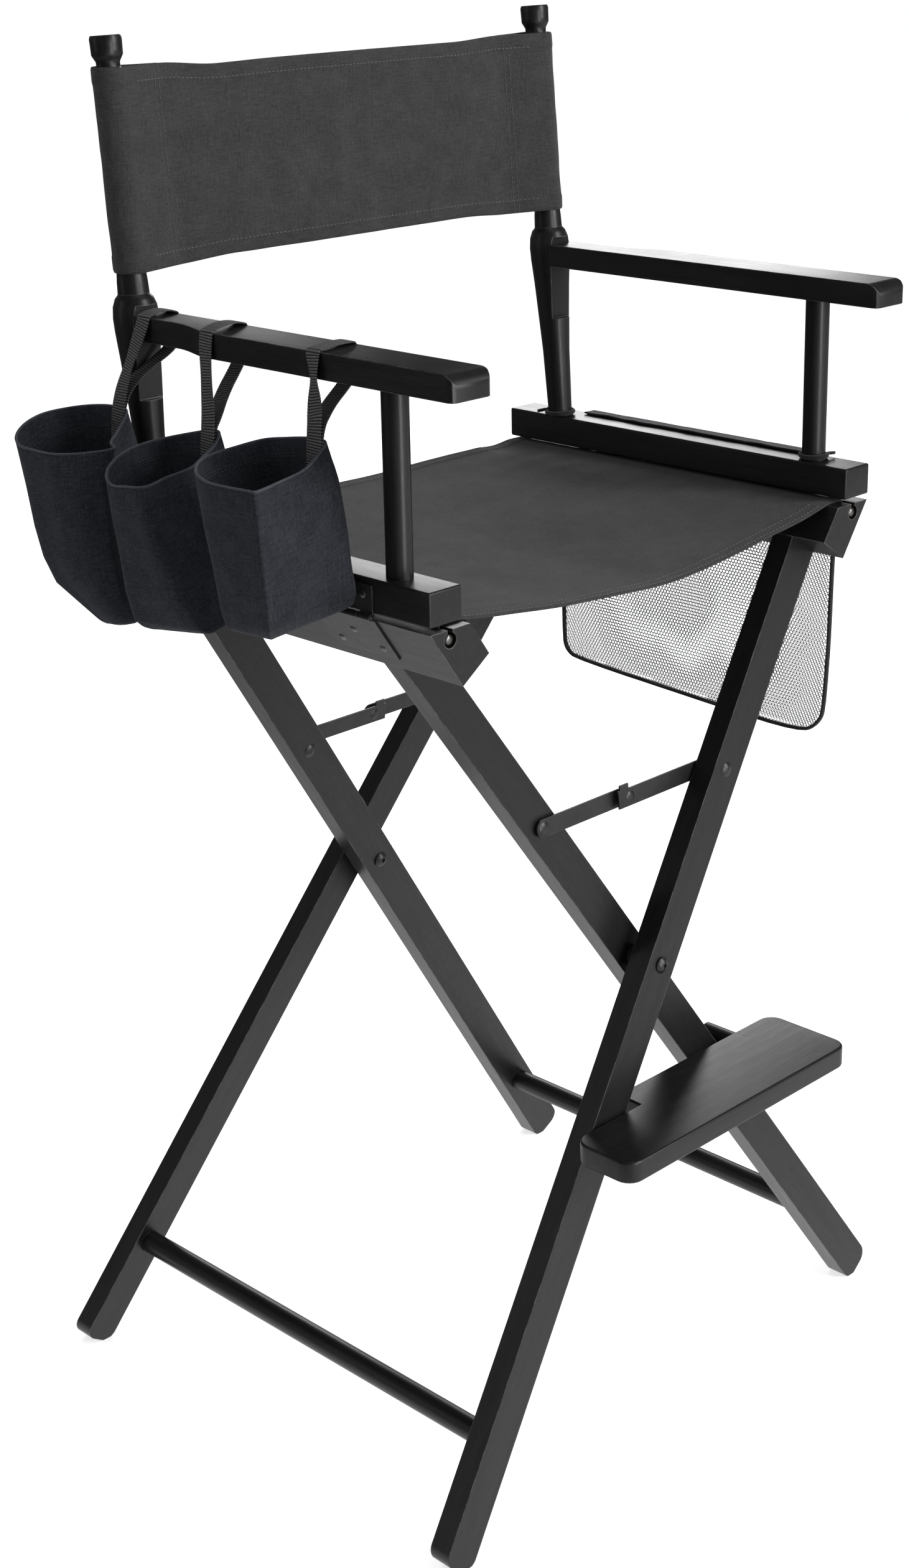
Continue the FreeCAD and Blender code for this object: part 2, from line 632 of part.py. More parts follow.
# The buckets lean: the rim falls away outward, the bottom swings forward.
# Sections are rim, middle and bottom, each (plan outline x y, z at the first
# point, slope of the section plane along x, slope along y).
POCKETS = {
    "front": (
        ([(-266.5, -107), (-345, -118), (-345, -53), (-300, -33), (-266.5, -40)],
         885.0, 0.20, -0.10),
        ([(-266.5, -130), (-347, -125), (-347, -74), (-300, -58), (-266.5, -64)],
         790.0, 0.10, 0.0),
        ([(-268.0, -132), (-340, -124), (-338, -84), (-300, -74), (-268.0, -78)],
         766.0, 0.16, 0.0)),
    "mid": (
        ([(-266.5, 11), (-345, 8), (-345, 52), (-300, 75), (-266.5, 70)],
         876.0, 0.31, -0.05),
        ([(-266.5, -20), (-340, -22), (-347, 34), (-300, 52), (-266.5, 48)],
         780.0, 0.12, 0.0),
        ([(-268.0, -34), (-325, -41), (-342, 20), (-300, 36), (-268.0, 33)],
         750.0, 0.20, 0.0)),
    "rear": (
        ([(-266.5, 103), (-303, 99), (-345, 121), (-345, 166), (-315, 184), (-266.5, 177)],
         878.0, 0.24, 0.0),
        ([(-266.5, 92), (-325, 72), (-345, 90), (-345, 148), (-315, 163), (-266.5, 154)],
         775.0, 0.14, 0.0),
        ([(-268.0, 68), (-325, 52), (-338, 75), (-332, 106), (-300, 120), (-268.0, 116)],
         745.0, 0.28, 0.0))}
# (y of the middle, outer x of the armrest there, z where the strands meet, z of the tail)
POCKET_LOOPS = {
    "front": (-93.0, REST_WIDE, 899.0, 856.0),
    "mid": (26.0, REST_WIDE, 890.0, 848.0),
    "rear": (115.5, REST_NARROW, 893.0, 850.0)}


def pocket_ring(section, inset, lift):
    """Section outline drawn in towards its middle and lifted."""
    points, z, slope_x, slope_y = section
    first_x, first_y = points[0]
    mid_x = sum(p[0] for p in points) / len(points)
    mid_y = sum(p[1] for p in points) / len(points)
    ring = []
    for x, y in points:
        distance = sqrt((x - mid_x) ** 2 + (y - mid_y) ** 2)
        factor = (distance - inset) / distance
        x = mid_x + (x - mid_x) * factor
        y = mid_y + (y - mid_y) * factor
        ring.append(Vector(x, y, z + lift + slope_x * (x - first_x) + slope_y * (y - first_y)))
    return Part.makePolygon(ring + ring[:1])


def pocket(rim, middle, bottom):
    """Open fabric bucket."""
    outside = Part.makeLoft([pocket_ring(bottom, 0, 0), pocket_ring(middle, 0, 0),
                             pocket_ring(rim, 0, 0)], True, True)
    inside = Part.makeLoft([pocket_ring(bottom, POCKET_WALL + 1.0, 2.8),
                            pocket_ring(middle, POCKET_WALL, 0),
                            pocket_ring(rim, POCKET_WALL, 1.2)], True, True)
    return outside.cut(inside).Solids[0]


def pocket_loop(y, rest_outer, join_z, tail_z):
    """Flat webbing band over the armrest. Its strands meet outside the arm and
    run down as a tail in the bucket's inner wall."""
    half_w, band_t = 7.5, 1.6
    bottom, top = REST_BOTTOM - 0.6, REST_TOP + 0.3
    outer, inner = rest_outer - 0.3, REST_INNER + 0.3
    tail_x, tail_half = -270.8, 0.9
    outline = [(outer - band_t, top + band_t), (inner + band_t, top + band_t),
               (inner + band_t, bottom - 1.2), (tail_x + tail_half, join_z - 3),
               (tail_x + tail_half, tail_z), (tail_x - tail_half, tail_z),
               (tail_x - tail_half, join_z), (outer - band_t, bottom)]
    opening = [(outer, top), (inner, top), (inner, bottom), (tail_x + 1.2, join_z + 2),
               (outer, bottom)]
    band = prism_xz(outline, y - half_w, y + half_w)
    return band.cut(prism_xz(opening, y - half_w - 1, y + half_w + 1)).Solids[0]


# ---- mesh bag outside the left arm -----------------------------------------
BAG_X = 265.4          # inner face
BAG_TOP = 762
BAG_OUTLINE = [        # (y, z)
    (-157, BAG_TOP), (-157, 700), (-153, 560), (-128, 531),
    (-30, 535), (142, 543), (160, 552), (160, BAG_TOP)]


def mesh_bag():
    """Flat bag open at the top."""
    hollow = [(y * 0.965, z + 0.5 if z == BAG_TOP else z + 7) for y, z in BAG_OUTLINE]
    bag = prism_yz(BAG_OUTLINE, BAG_X, BAG_X + 6.0)
    return bag.cut(prism_yz(hollow, 267.0, 269.8)).Solids[0]


def mesh_bag_band():
    """Strip lying on the arm base and turned down outside it."""
    y0, y1 = -136.0, 116.0
    outer, top = BAG_X + 1.5, ARM_TOP + 1.6
    return fuse([box(250.0, outer, y0, y1, ARM_TOP, top),
                 box(BAG_X, outer, y0, y1, 762.2, top)])


def mesh_bag_rings():
    """Rings round the feet of the left posts."""
    front = cyl_z(FRONT_POST_X, FRONT_POST_Y, 13.5, ARM_TOP, 6.0)
    front = front.cut(cyl_z(FRONT_POST_X, FRONT_POST_Y, FRONT_POST_R + FIX, ARM_TOP - 1, 8.0))
    back = cyl_z(BACK_POST_X, BACK_POST_Y, 14.6, ARM_TOP, 6.0)
    back = back.cut(cyl_z(BACK_POST_X, BACK_POST_Y + 0.2, 11.6, ARM_TOP - 1, 8.0))
    return Part.makeCompound([front, back])


# ---- build and export ------------------------------------------------------
save_pair("arm_base", arm_base())
save_pair("front_post", front_post())
save_pair("back_post", back_post())
save_pair("armrest", armrest())

for where, y in zip(("front", "rear"), HINGE_YS):
    save_pair("hinge_upper_" + where, hinge_upper(y))
    save_pair("hinge_lower_" + where, hinge_lower(y))
save_pair("hinge_pins", hinge_pins())
save_pair("hinge_screws_upper", upper_screws())
save_pair("hinge_screws_lower", lower_screws())

save_pair("seat_rail", seat_rail())
save_pair("seat_rod", seat_rod())
save_pair("seat_rod_screws", seat_rod_screws())

stretcher_l, stretcher_hole_l = stretcher(1, FACE_FRONT_L, FACE_REAR_L)
stretcher_r, stretcher_hole_r = stretcher(-1, FACE_FRONT_R, FACE_REAR_R)
save("stretcher_l", stretcher_l)
save("stretcher_r", stretcher_r)

front_stays = stay_set(FACE_FRONT_L, FRONT_SLOPE, 1)
rear_stays = stay_set(FACE_REAR_R, REAR_SLOPE, -1)
save("stay_front_l", front_stays["front_link"])
save("stay_front_r", front_stays["rear_link"])
save("stay_rear_r", rear_stays["front_link"])
save("stay_rear_l", rear_stays["rear_link"])
save("stay_bolts_l", Part.makeCompound([front_stays["front_bolt"], rear_stays["rear_bolt"]]))
save("stay_bolts_r", Part.makeCompound([front_stays["rear_bolt"], rear_stays["front_bolt"]]))
for where, stays in (("front", front_stays), ("rear", rear_stays)):
    save("stay_rivet_" + where, stays["rivet"])
    save("stay_rivet_tail_" + where, stays["tail"])

rest_bolt_hole = rest_bolt_bar(FIX, -5.0, square_t(LEG_T, FRONT_SLOPE) + 5.0)
save("leg_front_l", leg(1, FACE_FRONT_L, FRONT_SLOPE, [
    pivot_hole(FIX), stretcher_hole_l, front_stays["front_hole"], rest_bolt_hole]))
save("leg_front_r", leg(-1, FACE_FRONT_R, FRONT_SLOPE, [
    pivot_hole(RUN), stretcher_hole_r, front_stays["rear_hole"]]))
save("leg_rear_l", leg(1, FACE_REAR_L, REAR_SLOPE, [
    pivot_hole(FIX), stretcher_hole_l, rear_stays["rear_hole"]]))
save("leg_rear_r", leg(-1, FACE_REAR_R, REAR_SLOPE, [
    pivot_hole(RUN), stretcher_hole_r, rear_stays["front_hole"]]))

save("pivot_bolts", Part.makeCompound([
    pivot_bolt(FACE_FRONT_L, FACE_FRONT_R, 0.75),
    pivot_bolt(FACE_REAR_R, FACE_REAR_L, 1.2)]))
save("pivot_spacers", Part.makeCompound([
    pivot_spacer(FACE_FRONT_L, FACE_FRONT_R, 0.95),
    pivot_spacer(FACE_REAR_R, FACE_REAR_L, 1.5)]))

save("footrest_board", footrest_board())
save("footrest_peg", footrest_peg())
save("footrest_bolt", footrest_bolt())
save("seat_canvas", seat_canvas())
save("back_canvas", back_canvas())

for where in POCKETS:
    save("pocket_" + where, pocket(*POCKETS[where]))
    save("pocket_loop_" + where, pocket_loop(*POCKET_LOOPS[where]))
save("mesh_bag", mesh_bag())
save("mesh_bag_band", mesh_bag_band())
save("mesh_bag_rings", mesh_bag_rings())
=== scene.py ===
import bpy
import json
import math
import numpy as np
from math import sin, cos, tan, radians, pi
from mathutils import Vector, Matrix, noise

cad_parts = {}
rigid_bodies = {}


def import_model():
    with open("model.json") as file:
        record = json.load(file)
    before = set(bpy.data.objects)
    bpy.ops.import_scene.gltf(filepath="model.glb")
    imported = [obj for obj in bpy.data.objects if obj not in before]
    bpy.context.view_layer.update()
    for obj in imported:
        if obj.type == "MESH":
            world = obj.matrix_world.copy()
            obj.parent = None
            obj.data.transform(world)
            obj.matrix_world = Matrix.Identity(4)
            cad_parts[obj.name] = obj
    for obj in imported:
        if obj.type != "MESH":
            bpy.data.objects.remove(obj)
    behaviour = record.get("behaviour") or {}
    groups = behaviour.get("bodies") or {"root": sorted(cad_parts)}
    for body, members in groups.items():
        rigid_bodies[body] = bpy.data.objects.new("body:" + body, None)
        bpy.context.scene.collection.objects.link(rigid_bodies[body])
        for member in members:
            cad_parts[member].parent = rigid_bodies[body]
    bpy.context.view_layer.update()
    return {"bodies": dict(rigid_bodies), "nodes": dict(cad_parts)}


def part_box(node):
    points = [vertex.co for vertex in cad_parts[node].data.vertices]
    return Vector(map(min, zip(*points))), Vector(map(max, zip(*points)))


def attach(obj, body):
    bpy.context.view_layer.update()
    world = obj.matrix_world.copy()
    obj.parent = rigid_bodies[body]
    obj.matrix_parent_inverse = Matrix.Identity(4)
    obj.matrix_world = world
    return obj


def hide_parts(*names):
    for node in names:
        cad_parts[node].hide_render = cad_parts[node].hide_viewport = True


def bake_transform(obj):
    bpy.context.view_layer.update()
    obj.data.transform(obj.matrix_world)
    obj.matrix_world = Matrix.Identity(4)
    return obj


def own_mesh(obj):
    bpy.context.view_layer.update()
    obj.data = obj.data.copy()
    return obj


for o in list(bpy.data.objects):
    bpy.data.objects.remove(o)

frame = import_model()
N = frame["nodes"]

# ---- the frame's own reference planes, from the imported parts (mm) ------------
b_r, b_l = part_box("arm_base_r"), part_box("arm_base_l")
OX = 500.0 * (b_r[0].x + b_l[1].x)                 # chair's middle plane
OY = 500.0 * (b_r[0].y + b_r[1].y) + 5.0           # plane of the fold linkage
ARM_TOP = b_r[1].z * 1000
REST_LO, REST_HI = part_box("armrest_r")[0].z * 1000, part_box("armrest_r")[1].z * 1000
X_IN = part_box("armrest_r")[1].x * 1000 - OX        # inner face of the armrest
X_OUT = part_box("armrest_r")[0].x * 1000 - OX       # outer face of the wide part
X_NAR = -249.0                                     # outer face of the narrow part
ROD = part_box("seat_rod_r")
ROD_X = -(500.0 * (ROD[0].x + ROD[1].x) - OX)
ROD_Z = 500.0 * (ROD[0].z + ROD[1].z)
RAIL_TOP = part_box("seat_rail_r")[1].z * 1000
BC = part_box("back_canvas")
BC0, BC1 = BC[0].z * 1000, BC[1].z * 1000
POST_X, POST_Y, LEAN = 235.6, 133.0, radians(4.5)
LEG = radians(34.7)


def P(x, y, z):
    """A point given about the chair's middle plane in mm, in the row frame."""
    return ((x + OX) / 1000, (y + OY) / 1000, z / 1000)


def post_y(z):
    return POST_Y + tan(LEAN) * (z - ARM_TOP)


# ---- node-tree helpers -------------------------------------------------------
class Tree:
    def __init__(self, name):
        self.m = bpy.data.materials.new(name)
        self.m.use_nodes = True
        self.t = self.m.node_tree
        self.t.nodes.clear()
        self.out = self.t.nodes.new("ShaderNodeOutputMaterial")
        self.bsdf = self.t.nodes.new("ShaderNodeBsdfPrincipled")
        self.t.links.new(self.bsdf.outputs[0], self.out.inputs[0])

    def put(self, socket, v):
        if hasattr(v, "is_output"):
            self.t.links.new(v, socket)
        elif v is not None:
            socket.default_value = v

    def node(self, kind, ins=None, **props):
        n = self.t.nodes.new(kind)
        for k, v in props.items():
            setattr(n, k, v)
        for k, v in (ins or {}).items():
            self.put(n.inputs[k], v)
        return n

    def math(self, op, a, b=0.0, c=None, clamp=False):
        n = self.node("ShaderNodeMath", operation=op, use_clamp=clamp)
        self.put(n.inputs[0], a)
        self.put(n.inputs[1], b)
        if c is not None:
            self.put(n.inputs[2], c)
        return n.outputs[0]

    def vmath(self, op, a, b):
        n = self.node("ShaderNodeVectorMath", operation=op)
        self.put(n.inputs[0], a)
        self.put(n.inputs[1], b)
        return n.outputs["Value"] if op == "DOT_PRODUCT" else n.outputs[0]

    def mix(self, f, a, b):
        n = self.node("ShaderNodeMix", data_type="RGBA")
        self.put(n.inputs[0], f)
        self.put(n.inputs[6], a)
        self.put(n.inputs[7], b)
        return n.outputs[2]

    def noise(self, vec, scale, detail=3.0, rough=0.55):
        n = self.node("ShaderNodeTexNoise", {"Vector": vec, "Scale": scale, "Detail": detail, "Roughness": rough})
        return n.outputs[0]

    def remap(self, v, a, b, c=0.0, d=1.0):
        n = self.node("ShaderNodeMapRange", {"Value": v, "From Min": a, "From Max": b, "To Min": c, "To Max": d})
        return n.outputs[0]

    def obj(self):
        return self.node("ShaderNodeTexCoord").outputs["Object"]

    def edge(self, radius):
        """1 on a sharp edge, 0 on a flat face; and the softened normal."""
        bv = self.node("ShaderNodeBevel", {"Radius": radius}, samples=6)
        g = self.node("ShaderNodeNewGeometry")
        d = self.vmath("DOT_PRODUCT", bv.outputs[0], g.outputs["Normal"])
        return self.remap(d, 0.995, 0.88), bv.outputs[0]


def rgb(r, g, b):
    return (r, g, b, 1.0)


def wood(name, axis, dark=(0.0040, 0.0037, 0.0038), light=(0.0145, 0.0135, 0.0137)):
    """Black satin paint over open-grained timber, the grain along axis."""
    t = Tree(name)
    a = Vector(axis).normalized()
    h = Vector((0, 1, 0)) if abs(a.y) < 0.9 else Vector((1, 0, 0))
    b = a.cross(h).normalized()
    c = a.cross(b)
    p = t.obj()
    co = t.node("ShaderNodeCombineXYZ", {
        "X": t.math("MULTIPLY", t.vmath("DOT_PRODUCT", p, tuple(a)), 0.055),
        "Y": t.vmath("DOT_PRODUCT", p, tuple(b)), "Z": t.vmath("DOT_PRODUCT", p, tuple(c))}).outputs[0]
    pores = t.noise(co, 900.0, 4.0, 0.62)
    bands = t.noise(co, 120.0, 3.0, 0.5)
    cloud = t.noise(p, 9.0, 2.0)
    grain = t.math("ADD", t.math("MULTIPLY", pores, 0.6), t.math("MULTIPLY", bands, 0.4))
    f = t.remap(grain, 0.38, 0.64)
    col = t.mix(f, rgb(*dark), rgb(*light))
    col = t.mix(t.remap(cloud, 0.35, 0.7, 0.0, 0.35), col, rgb(0.013, 0.0105, 0.0098))
    e, soft = t.edge(0.0011)
    # the edges are painted lighter: partly wear, partly a painted highlight along the edges
    wear_and_edge_highlight = t.math("MULTIPLY", e, t.remap(t.noise(p, 55.0, 5.0, 0.7), 0.42, 0.62, 0.12, 1.0), clamp=True)
    col = t.mix(t.math("MULTIPLY", wear_and_edge_highlight, 0.8), col, rgb(0.30, 0.28, 0.265))
    t.put(t.bsdf.inputs["Base Color"], col)
    t.put(t.bsdf.inputs["Roughness"], t.math("ADD", t.remap(grain, 0.3, 0.7, 0.38, 0.28), t.math("MULTIPLY", cloud, 0.06)))
    t.put(t.bsdf.inputs["Specular IOR Level"], 0.36)
    bump = t.node("ShaderNodeBump", {"Strength": 0.35, "Distance": 0.00025, "Height": grain, "Normal": soft})
    t.put(t.bsdf.inputs["Normal"], bump.outputs[0])
    return t.m


def metal(name, base, rough, metallic, wear):
    """Enamelled or plated steel with fine scratches; its edges are painted lighter, partly wear and partly a painted
    highlight.
    """
    t = Tree(name)
    p = t.obj()
    scr = t.noise(t.vmath("MULTIPLY", p, (1.0, 0.06, 1.0)), 1500.0, 3.0)
    blot = t.noise(p, 60.0, 4.0, 0.6)
    e, soft = t.edge(0.0004)
    # the edges are painted lighter: partly wear, partly a painted highlight along the edges
    wear_and_edge_highlight = t.math("MULTIPLY", e, t.remap(blot, 0.4, 0.65, 0.2, 1.0), clamp=True)
    col = t.mix(t.remap(blot, 0.35, 0.7, 0.0, 0.5), rgb(*base), rgb(*[min(1, c * 2.0 + 0.004) for c in base]))
    col = t.mix(t.math("MULTIPLY", wear_and_edge_highlight, wear), col, rgb(0.42, 0.41, 0.40))
    t.put(t.bsdf.inputs["Base Color"], col)
    t.put(t.bsdf.inputs["Metallic"], metallic)
    t.put(t.bsdf.inputs["Roughness"], t.remap(scr, 0.3, 0.7, rough - 0.06, rough + 0.08))
    bump = t.node("ShaderNodeBump", {"Strength": 0.18, "Distance": 0.00008, "Height": scr, "Normal": soft})
    t.put(t.bsdf.inputs["Normal"], bump.outputs[0])
    return t.m


def cloth(name, dark, light, pitch, sheen=0.35, bump_mm=0.22, slub=1.0):
    """Plain weave drawn in the cloth's own UV millimetres, with slubs and mottling."""
    t = Tree(name)
    uv = t.node("ShaderNodeUVMap", uv_map="cloth").outputs[0]
    s = t.node("ShaderNodeSeparateXYZ", {"Vector": uv})
    u, v = s.outputs[0], s.outputs[1]
    wob = t.noise(uv, 0.12, 2.0)
    su = t.math("SINE", t.math("ADD", t.math("MULTIPLY", u, 2 * pi / pitch), t.math("MULTIPLY", wob, 3.0)))
    sv = t.math("SINE", t.math("ADD", t.math("MULTIPLY", v, 2 * pi / pitch), t.math("MULTIPLY", wob, 2.0)))
    over = t.math("MULTIPLY", su, sv)
    thread = t.math("ADD", t.math("ABSOLUTE", su), t.math("ABSOLUTE", sv))
    height = t.math("ADD", t.math("MULTIPLY", over, 0.3), t.math("MULTIPLY", thread, 0.35))
    sl_u = t.noise(t.vmath("MULTIPLY", uv, (0.05, 1.0, 1.0)), 1.3, 3.0, 0.6)
    sl_v = t.noise(t.vmath("MULTIPLY", uv, (1.0, 0.05, 1.0)), 1.3, 3.0, 0.6)
    slubs = t.math("ADD", t.math("MULTIPLY", sl_u, 0.5), t.math("MULTIPLY", sl_v, 0.5))
    broad = t.noise(uv, 0.035, 4.0, 0.65)
    fleck = t.noise(uv, 0.42, 3.0, 0.7)
    f = t.math("ADD", t.math("MULTIPLY", t.remap(slubs, 0.36, 0.64), 0.55 * slub),
               t.math("MULTIPLY", t.remap(height, 0.0, 0.9), 0.3))
    f = t.math("ADD", f, t.math("MULTIPLY", t.math("SUBTRACT", fleck, 0.5), 1.0))
    f = t.math("ADD", f, t.math("MULTIPLY", t.math("SUBTRACT", broad, 0.5), 0.7), clamp=True)
    t.put(t.bsdf.inputs["Base Color"], t.mix(f, rgb(*dark), rgb(*light)))
    t.put(t.bsdf.inputs["Roughness"], 0.92)
    t.put(t.bsdf.inputs["Specular IOR Level"], 0.12)
    t.put(t.bsdf.inputs["Sheen Weight"], sheen)
    t.put(t.bsdf.inputs["Sheen Roughness"], 0.45)
    t.put(t.bsdf.inputs["Sheen Tint"], rgb(0.75, 0.76, 0.8))
    hh = t.math("ADD", height, t.math("MULTIPLY", slubs, 0.9))
    bump = t.node("ShaderNodeBump", {"Strength": 0.6, "Distance": bump_mm / 1000, "Height": hh})
    t.put(t.bsdf.inputs["Normal"], bump.outputs[0])
    return t.m


def ribbed(name, dark, light):
    """Webbing ribbed crosswise in fine yarn, with painted shade in the grooves and a painted highlight on the rib
    crests.
    """
    t = Tree(name)
    uv = t.node("ShaderNodeUVMap", uv_map="cloth").outputs[0]
    s = t.node("ShaderNodeSeparateXYZ", {"Vector": uv})
    u, v = s.outputs[0], s.outputs[1]
    rib = t.math("ABSOLUTE", t.math("SINE", t.math("MULTIPLY", u, pi / 2.1)))
    yarn = t.math("ABSOLUTE", t.math("SINE", t.math("MULTIPLY", v, pi / 0.75)))
    n = t.noise(uv, 0.5, 3.0, 0.6)
    # the rib term paints shade into the grooves and a highlight onto the crests
    f = t.math("MULTIPLY", t.remap(rib, 0.25, 0.95), t.math("ADD", t.math("MULTIPLY", yarn, 0.35), t.math("MULTIPLY", n, 1.1)), clamp=True)
    t.put(t.bsdf.inputs["Base Color"], t.mix(f, rgb(*dark), rgb(*light)))
    t.put(t.bsdf.inputs["Roughness"], 0.7)
    t.put(t.bsdf.inputs["Specular IOR Level"], 0.3)
    t.put(t.bsdf.inputs["Sheen Weight"], 0.1)
    h = t.math("ADD", t.math("MULTIPLY", rib, 0.6), t.math("MULTIPLY", yarn, 0.3))
    bump = t.node("ShaderNodeBump", {"Strength": 0.5, "Distance": 0.00025, "Height": h})
    t.put(t.bsdf.inputs["Normal"], bump.outputs[0])
    return t.m


def thread_mat(name, dark, light):
    t = Tree(name)
    p = t.obj()
    n = t.noise(p, 1400.0, 2.0)
    t.put(t.bsdf.inputs["Base Color"], t.mix(t.remap(n, 0.35, 0.65), rgb(*dark), rgb(*light)))
    t.put(t.bsdf.inputs["Roughness"], 0.75)
    t.put(t.bsdf.inputs["Sheen Weight"], 0.3)
    bump = t.node("ShaderNodeBump", {"Strength": 0.5, "Distance": 0.00015, "Height": n})
    t.put(t.bsdf.inputs["Normal"], bump.outputs[0])
    return t.m


W_Y = wood("wood_grain_y", (0, 1, 0))
W_Z = wood("wood_grain_z", (0, 0.07, 1))
W_X = wood("wood_grain_x", (1, 0, 0))
W_LR = wood("wood_grain_leg_r", (-sin(LEG), 0, cos(LEG)))
W_LL = wood("wood_grain_leg_l", (sin(LEG), 0, cos(LEG)))
M_BLACK = metal("black_enamel", (0.018, 0.018, 0.019), 0.36, 0.35, 0.6)
M_SCREW = metal("screw_steel", (0.11, 0.108, 0.105), 0.30, 0.9, 0.5)
F_CANVAS = cloth("canvas_weave", (0.026, 0.0252, 0.0260), (0.072, 0.0700, 0.0705), 1.1, 0.14, 0.25)
F_POCKET = cloth("pocket_weave", (0.0060, 0.0074, 0.0105), (0.046, 0.050, 0.061), 0.8, 0.14, 0.18)
# the dark colour is painted shade in the rib grooves, the light one a painted highlight on the rib crests, broken up by
# yarn and noise
F_WEB = ribbed("web_weave_painted_shade_and_highlight", (0.0025, 0.0025, 0.003), (0.150, 0.150, 0.156))
F_HEM = cloth("hem_weave", (0.030, 0.034, 0.042), (0.085, 0.092, 0.108), 0.8, 0.30, 0.15)
F_NET = thread_mat("net_strand", (0.028, 0.028, 0.029), (0.08, 0.08, 0.082))
F_BIND = cloth("binding_weave", (0.008, 0.008, 0.009), (0.036, 0.036, 0.038), 0.8, 0.3, 0.2)
T_CANVAS = thread_mat("canvas_thread", (0.035, 0.034, 0.036), (0.11, 0.108, 0.11))
T_POCKET = thread_mat("pocket_thread", (0.004, 0.005, 0.007), (0.020, 0.022, 0.028))


# ---- carried-over CAD pieces -------------------------------------------------
SOFT = ["seat_canvas", "back_canvas", "pocket_front", "pocket_mid", "pocket_rear", "pocket_loop_front",
        "pocket_loop_mid", "pocket_loop_rear", "mesh_bag", "mesh_bag_band", "mesh_bag_rings"]
for n, o in N.items():
    if n in SOFT:
        continue
    if n.startswith(("leg_rear_r", "leg_front_r")):
        m = W_LR
    elif n.startswith(("leg_rear_l", "leg_front_l")):
        m = W_LL
    elif n.startswith(("front_post", "back_post")):
        m = W_Z
    elif n == "footrest_board":
        m = W_X
    elif n.startswith(("arm_base", "armrest", "seat_rail", "stretcher", "footrest_peg", "seat_rod_r", "seat_rod_l")) and "screws" not in n:
        m = W_Y
    elif "screws" in n or "pins" in n:
        m = M_SCREW
    else:
        m = M_BLACK
    o.data.materials.clear()
    o.data.materials.append(m)
    for k in ("custom_normal",):
        if k in o.data.attributes:
            o.data.attributes.remove(o.data.attributes[k])
    w = o.modifiers.new("join", "WELD")
    w.merge_threshold = 0.000004
    o.data.polygons.foreach_set("use_smooth", [True] * len(o.data.polygons))
    e = o.modifiers.new("crisp", "EDGE_SPLIT")
    e.split_angle = radians(28)


# ---- mesh helpers ------------------------------------------------------------
def piece(name, verts, faces, mat, body, replaces=(), uvs=None, smooth=True, squash=None, split=None, blend=None, normals=None):
    me = bpy.data.meshes.new(name)
    me.from_pydata([tuple(v) for v in verts], [], [tuple(f) for f in faces])
    me.update()
    if uvs is not None:
        layer = me.uv_layers.new(name="cloth")
        idx = np.zeros(len(me.loops), np.int32)
        me.loops.foreach_get("vertex_index", idx)
        layer.data.foreach_set("uv", np.array(uvs, np.float32)[idx].ravel())
    me.polygons.foreach_set("use_smooth", [smooth] * len(me.polygons))
    me.materials.append(mat)
    o = bpy.data.objects.new(name, me)
    bpy.context.scene.collection.objects.link(o)
    if split:
        e = o.modifiers.new("crisp", "EDGE_SPLIT")
        e.split_angle = radians(split)
    if normals is not None:
        me.normals_split_custom_set_from_vertices([tuple(n) for n in normals])
    if blend:
        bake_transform(o)
    else:
        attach(o, body)
    if replaces:
        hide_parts(*replaces)
    if squash:
        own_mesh(o)
    return o


def slab(front, back, uv):
    """Closed thin solid between two equal grids of points [i][j]."""
    f, b = np.array(front), np.array(back)
    ni, nj = f.shape[:2]
    v = np.concatenate([f.reshape(-1, 3), b.reshape(-1, 3)])
    k = ni * nj
    q = lambda i, j: i * nj + j
    faces = []
    for i in range(ni - 1):
        for j in range(nj - 1):
            faces.append((q(i, j), q(i + 1, j), q(i + 1, j + 1), q(i, j + 1)))
            faces.append((k + q(i, j), k + q(i, j + 1), k + q(i + 1, j + 1), k + q(i + 1, j)))
    for i in range(ni - 1):
        faces.append((q(i, 0), k + q(i, 0), k + q(i + 1, 0), q(i + 1, 0)))
        faces.append((q(i, nj - 1), q(i + 1, nj - 1), k + q(i + 1, nj - 1), k + q(i, nj - 1)))
    for j in range(nj - 1):
        faces.append((q(0, j), q(0, j + 1), k + q(0, j + 1), k + q(0, j)))
        faces.append((q(ni - 1, j), k + q(ni - 1, j), k + q(ni - 1, j + 1), q(ni - 1, j + 1)))
    u = np.array(uv).reshape(-1, 2)
    return v, faces, np.concatenate([u, u])


def resample(pts, step):
    p = np.array(pts, float)
    d = np.r_[0, np.cumsum(np.linalg.norm(np.diff(p, axis=0), axis=1))]
    n = max(2, int(round(d[-1] / step)) + 1)
    s = np.linspace(0, d[-1], n)
    return np.stack([np.interp(s, d, p[:, k]) for k in range(p.shape[1])], 1), s


def smooth_path(pts, step, rounds=3):
    """Corner-cut a polyline, keep its ends, sample it evenly."""
    p = [np.array(a, float) for a in pts]
    for _ in range(rounds):
        q = [p[0]]
        for a, b in zip(p[:-1], p[1:]):
            q += [a * 0.75 + b * 0.25, a * 0.25 + b * 0.75]
        p = q + [p[-1]]
    return resample(p, step)


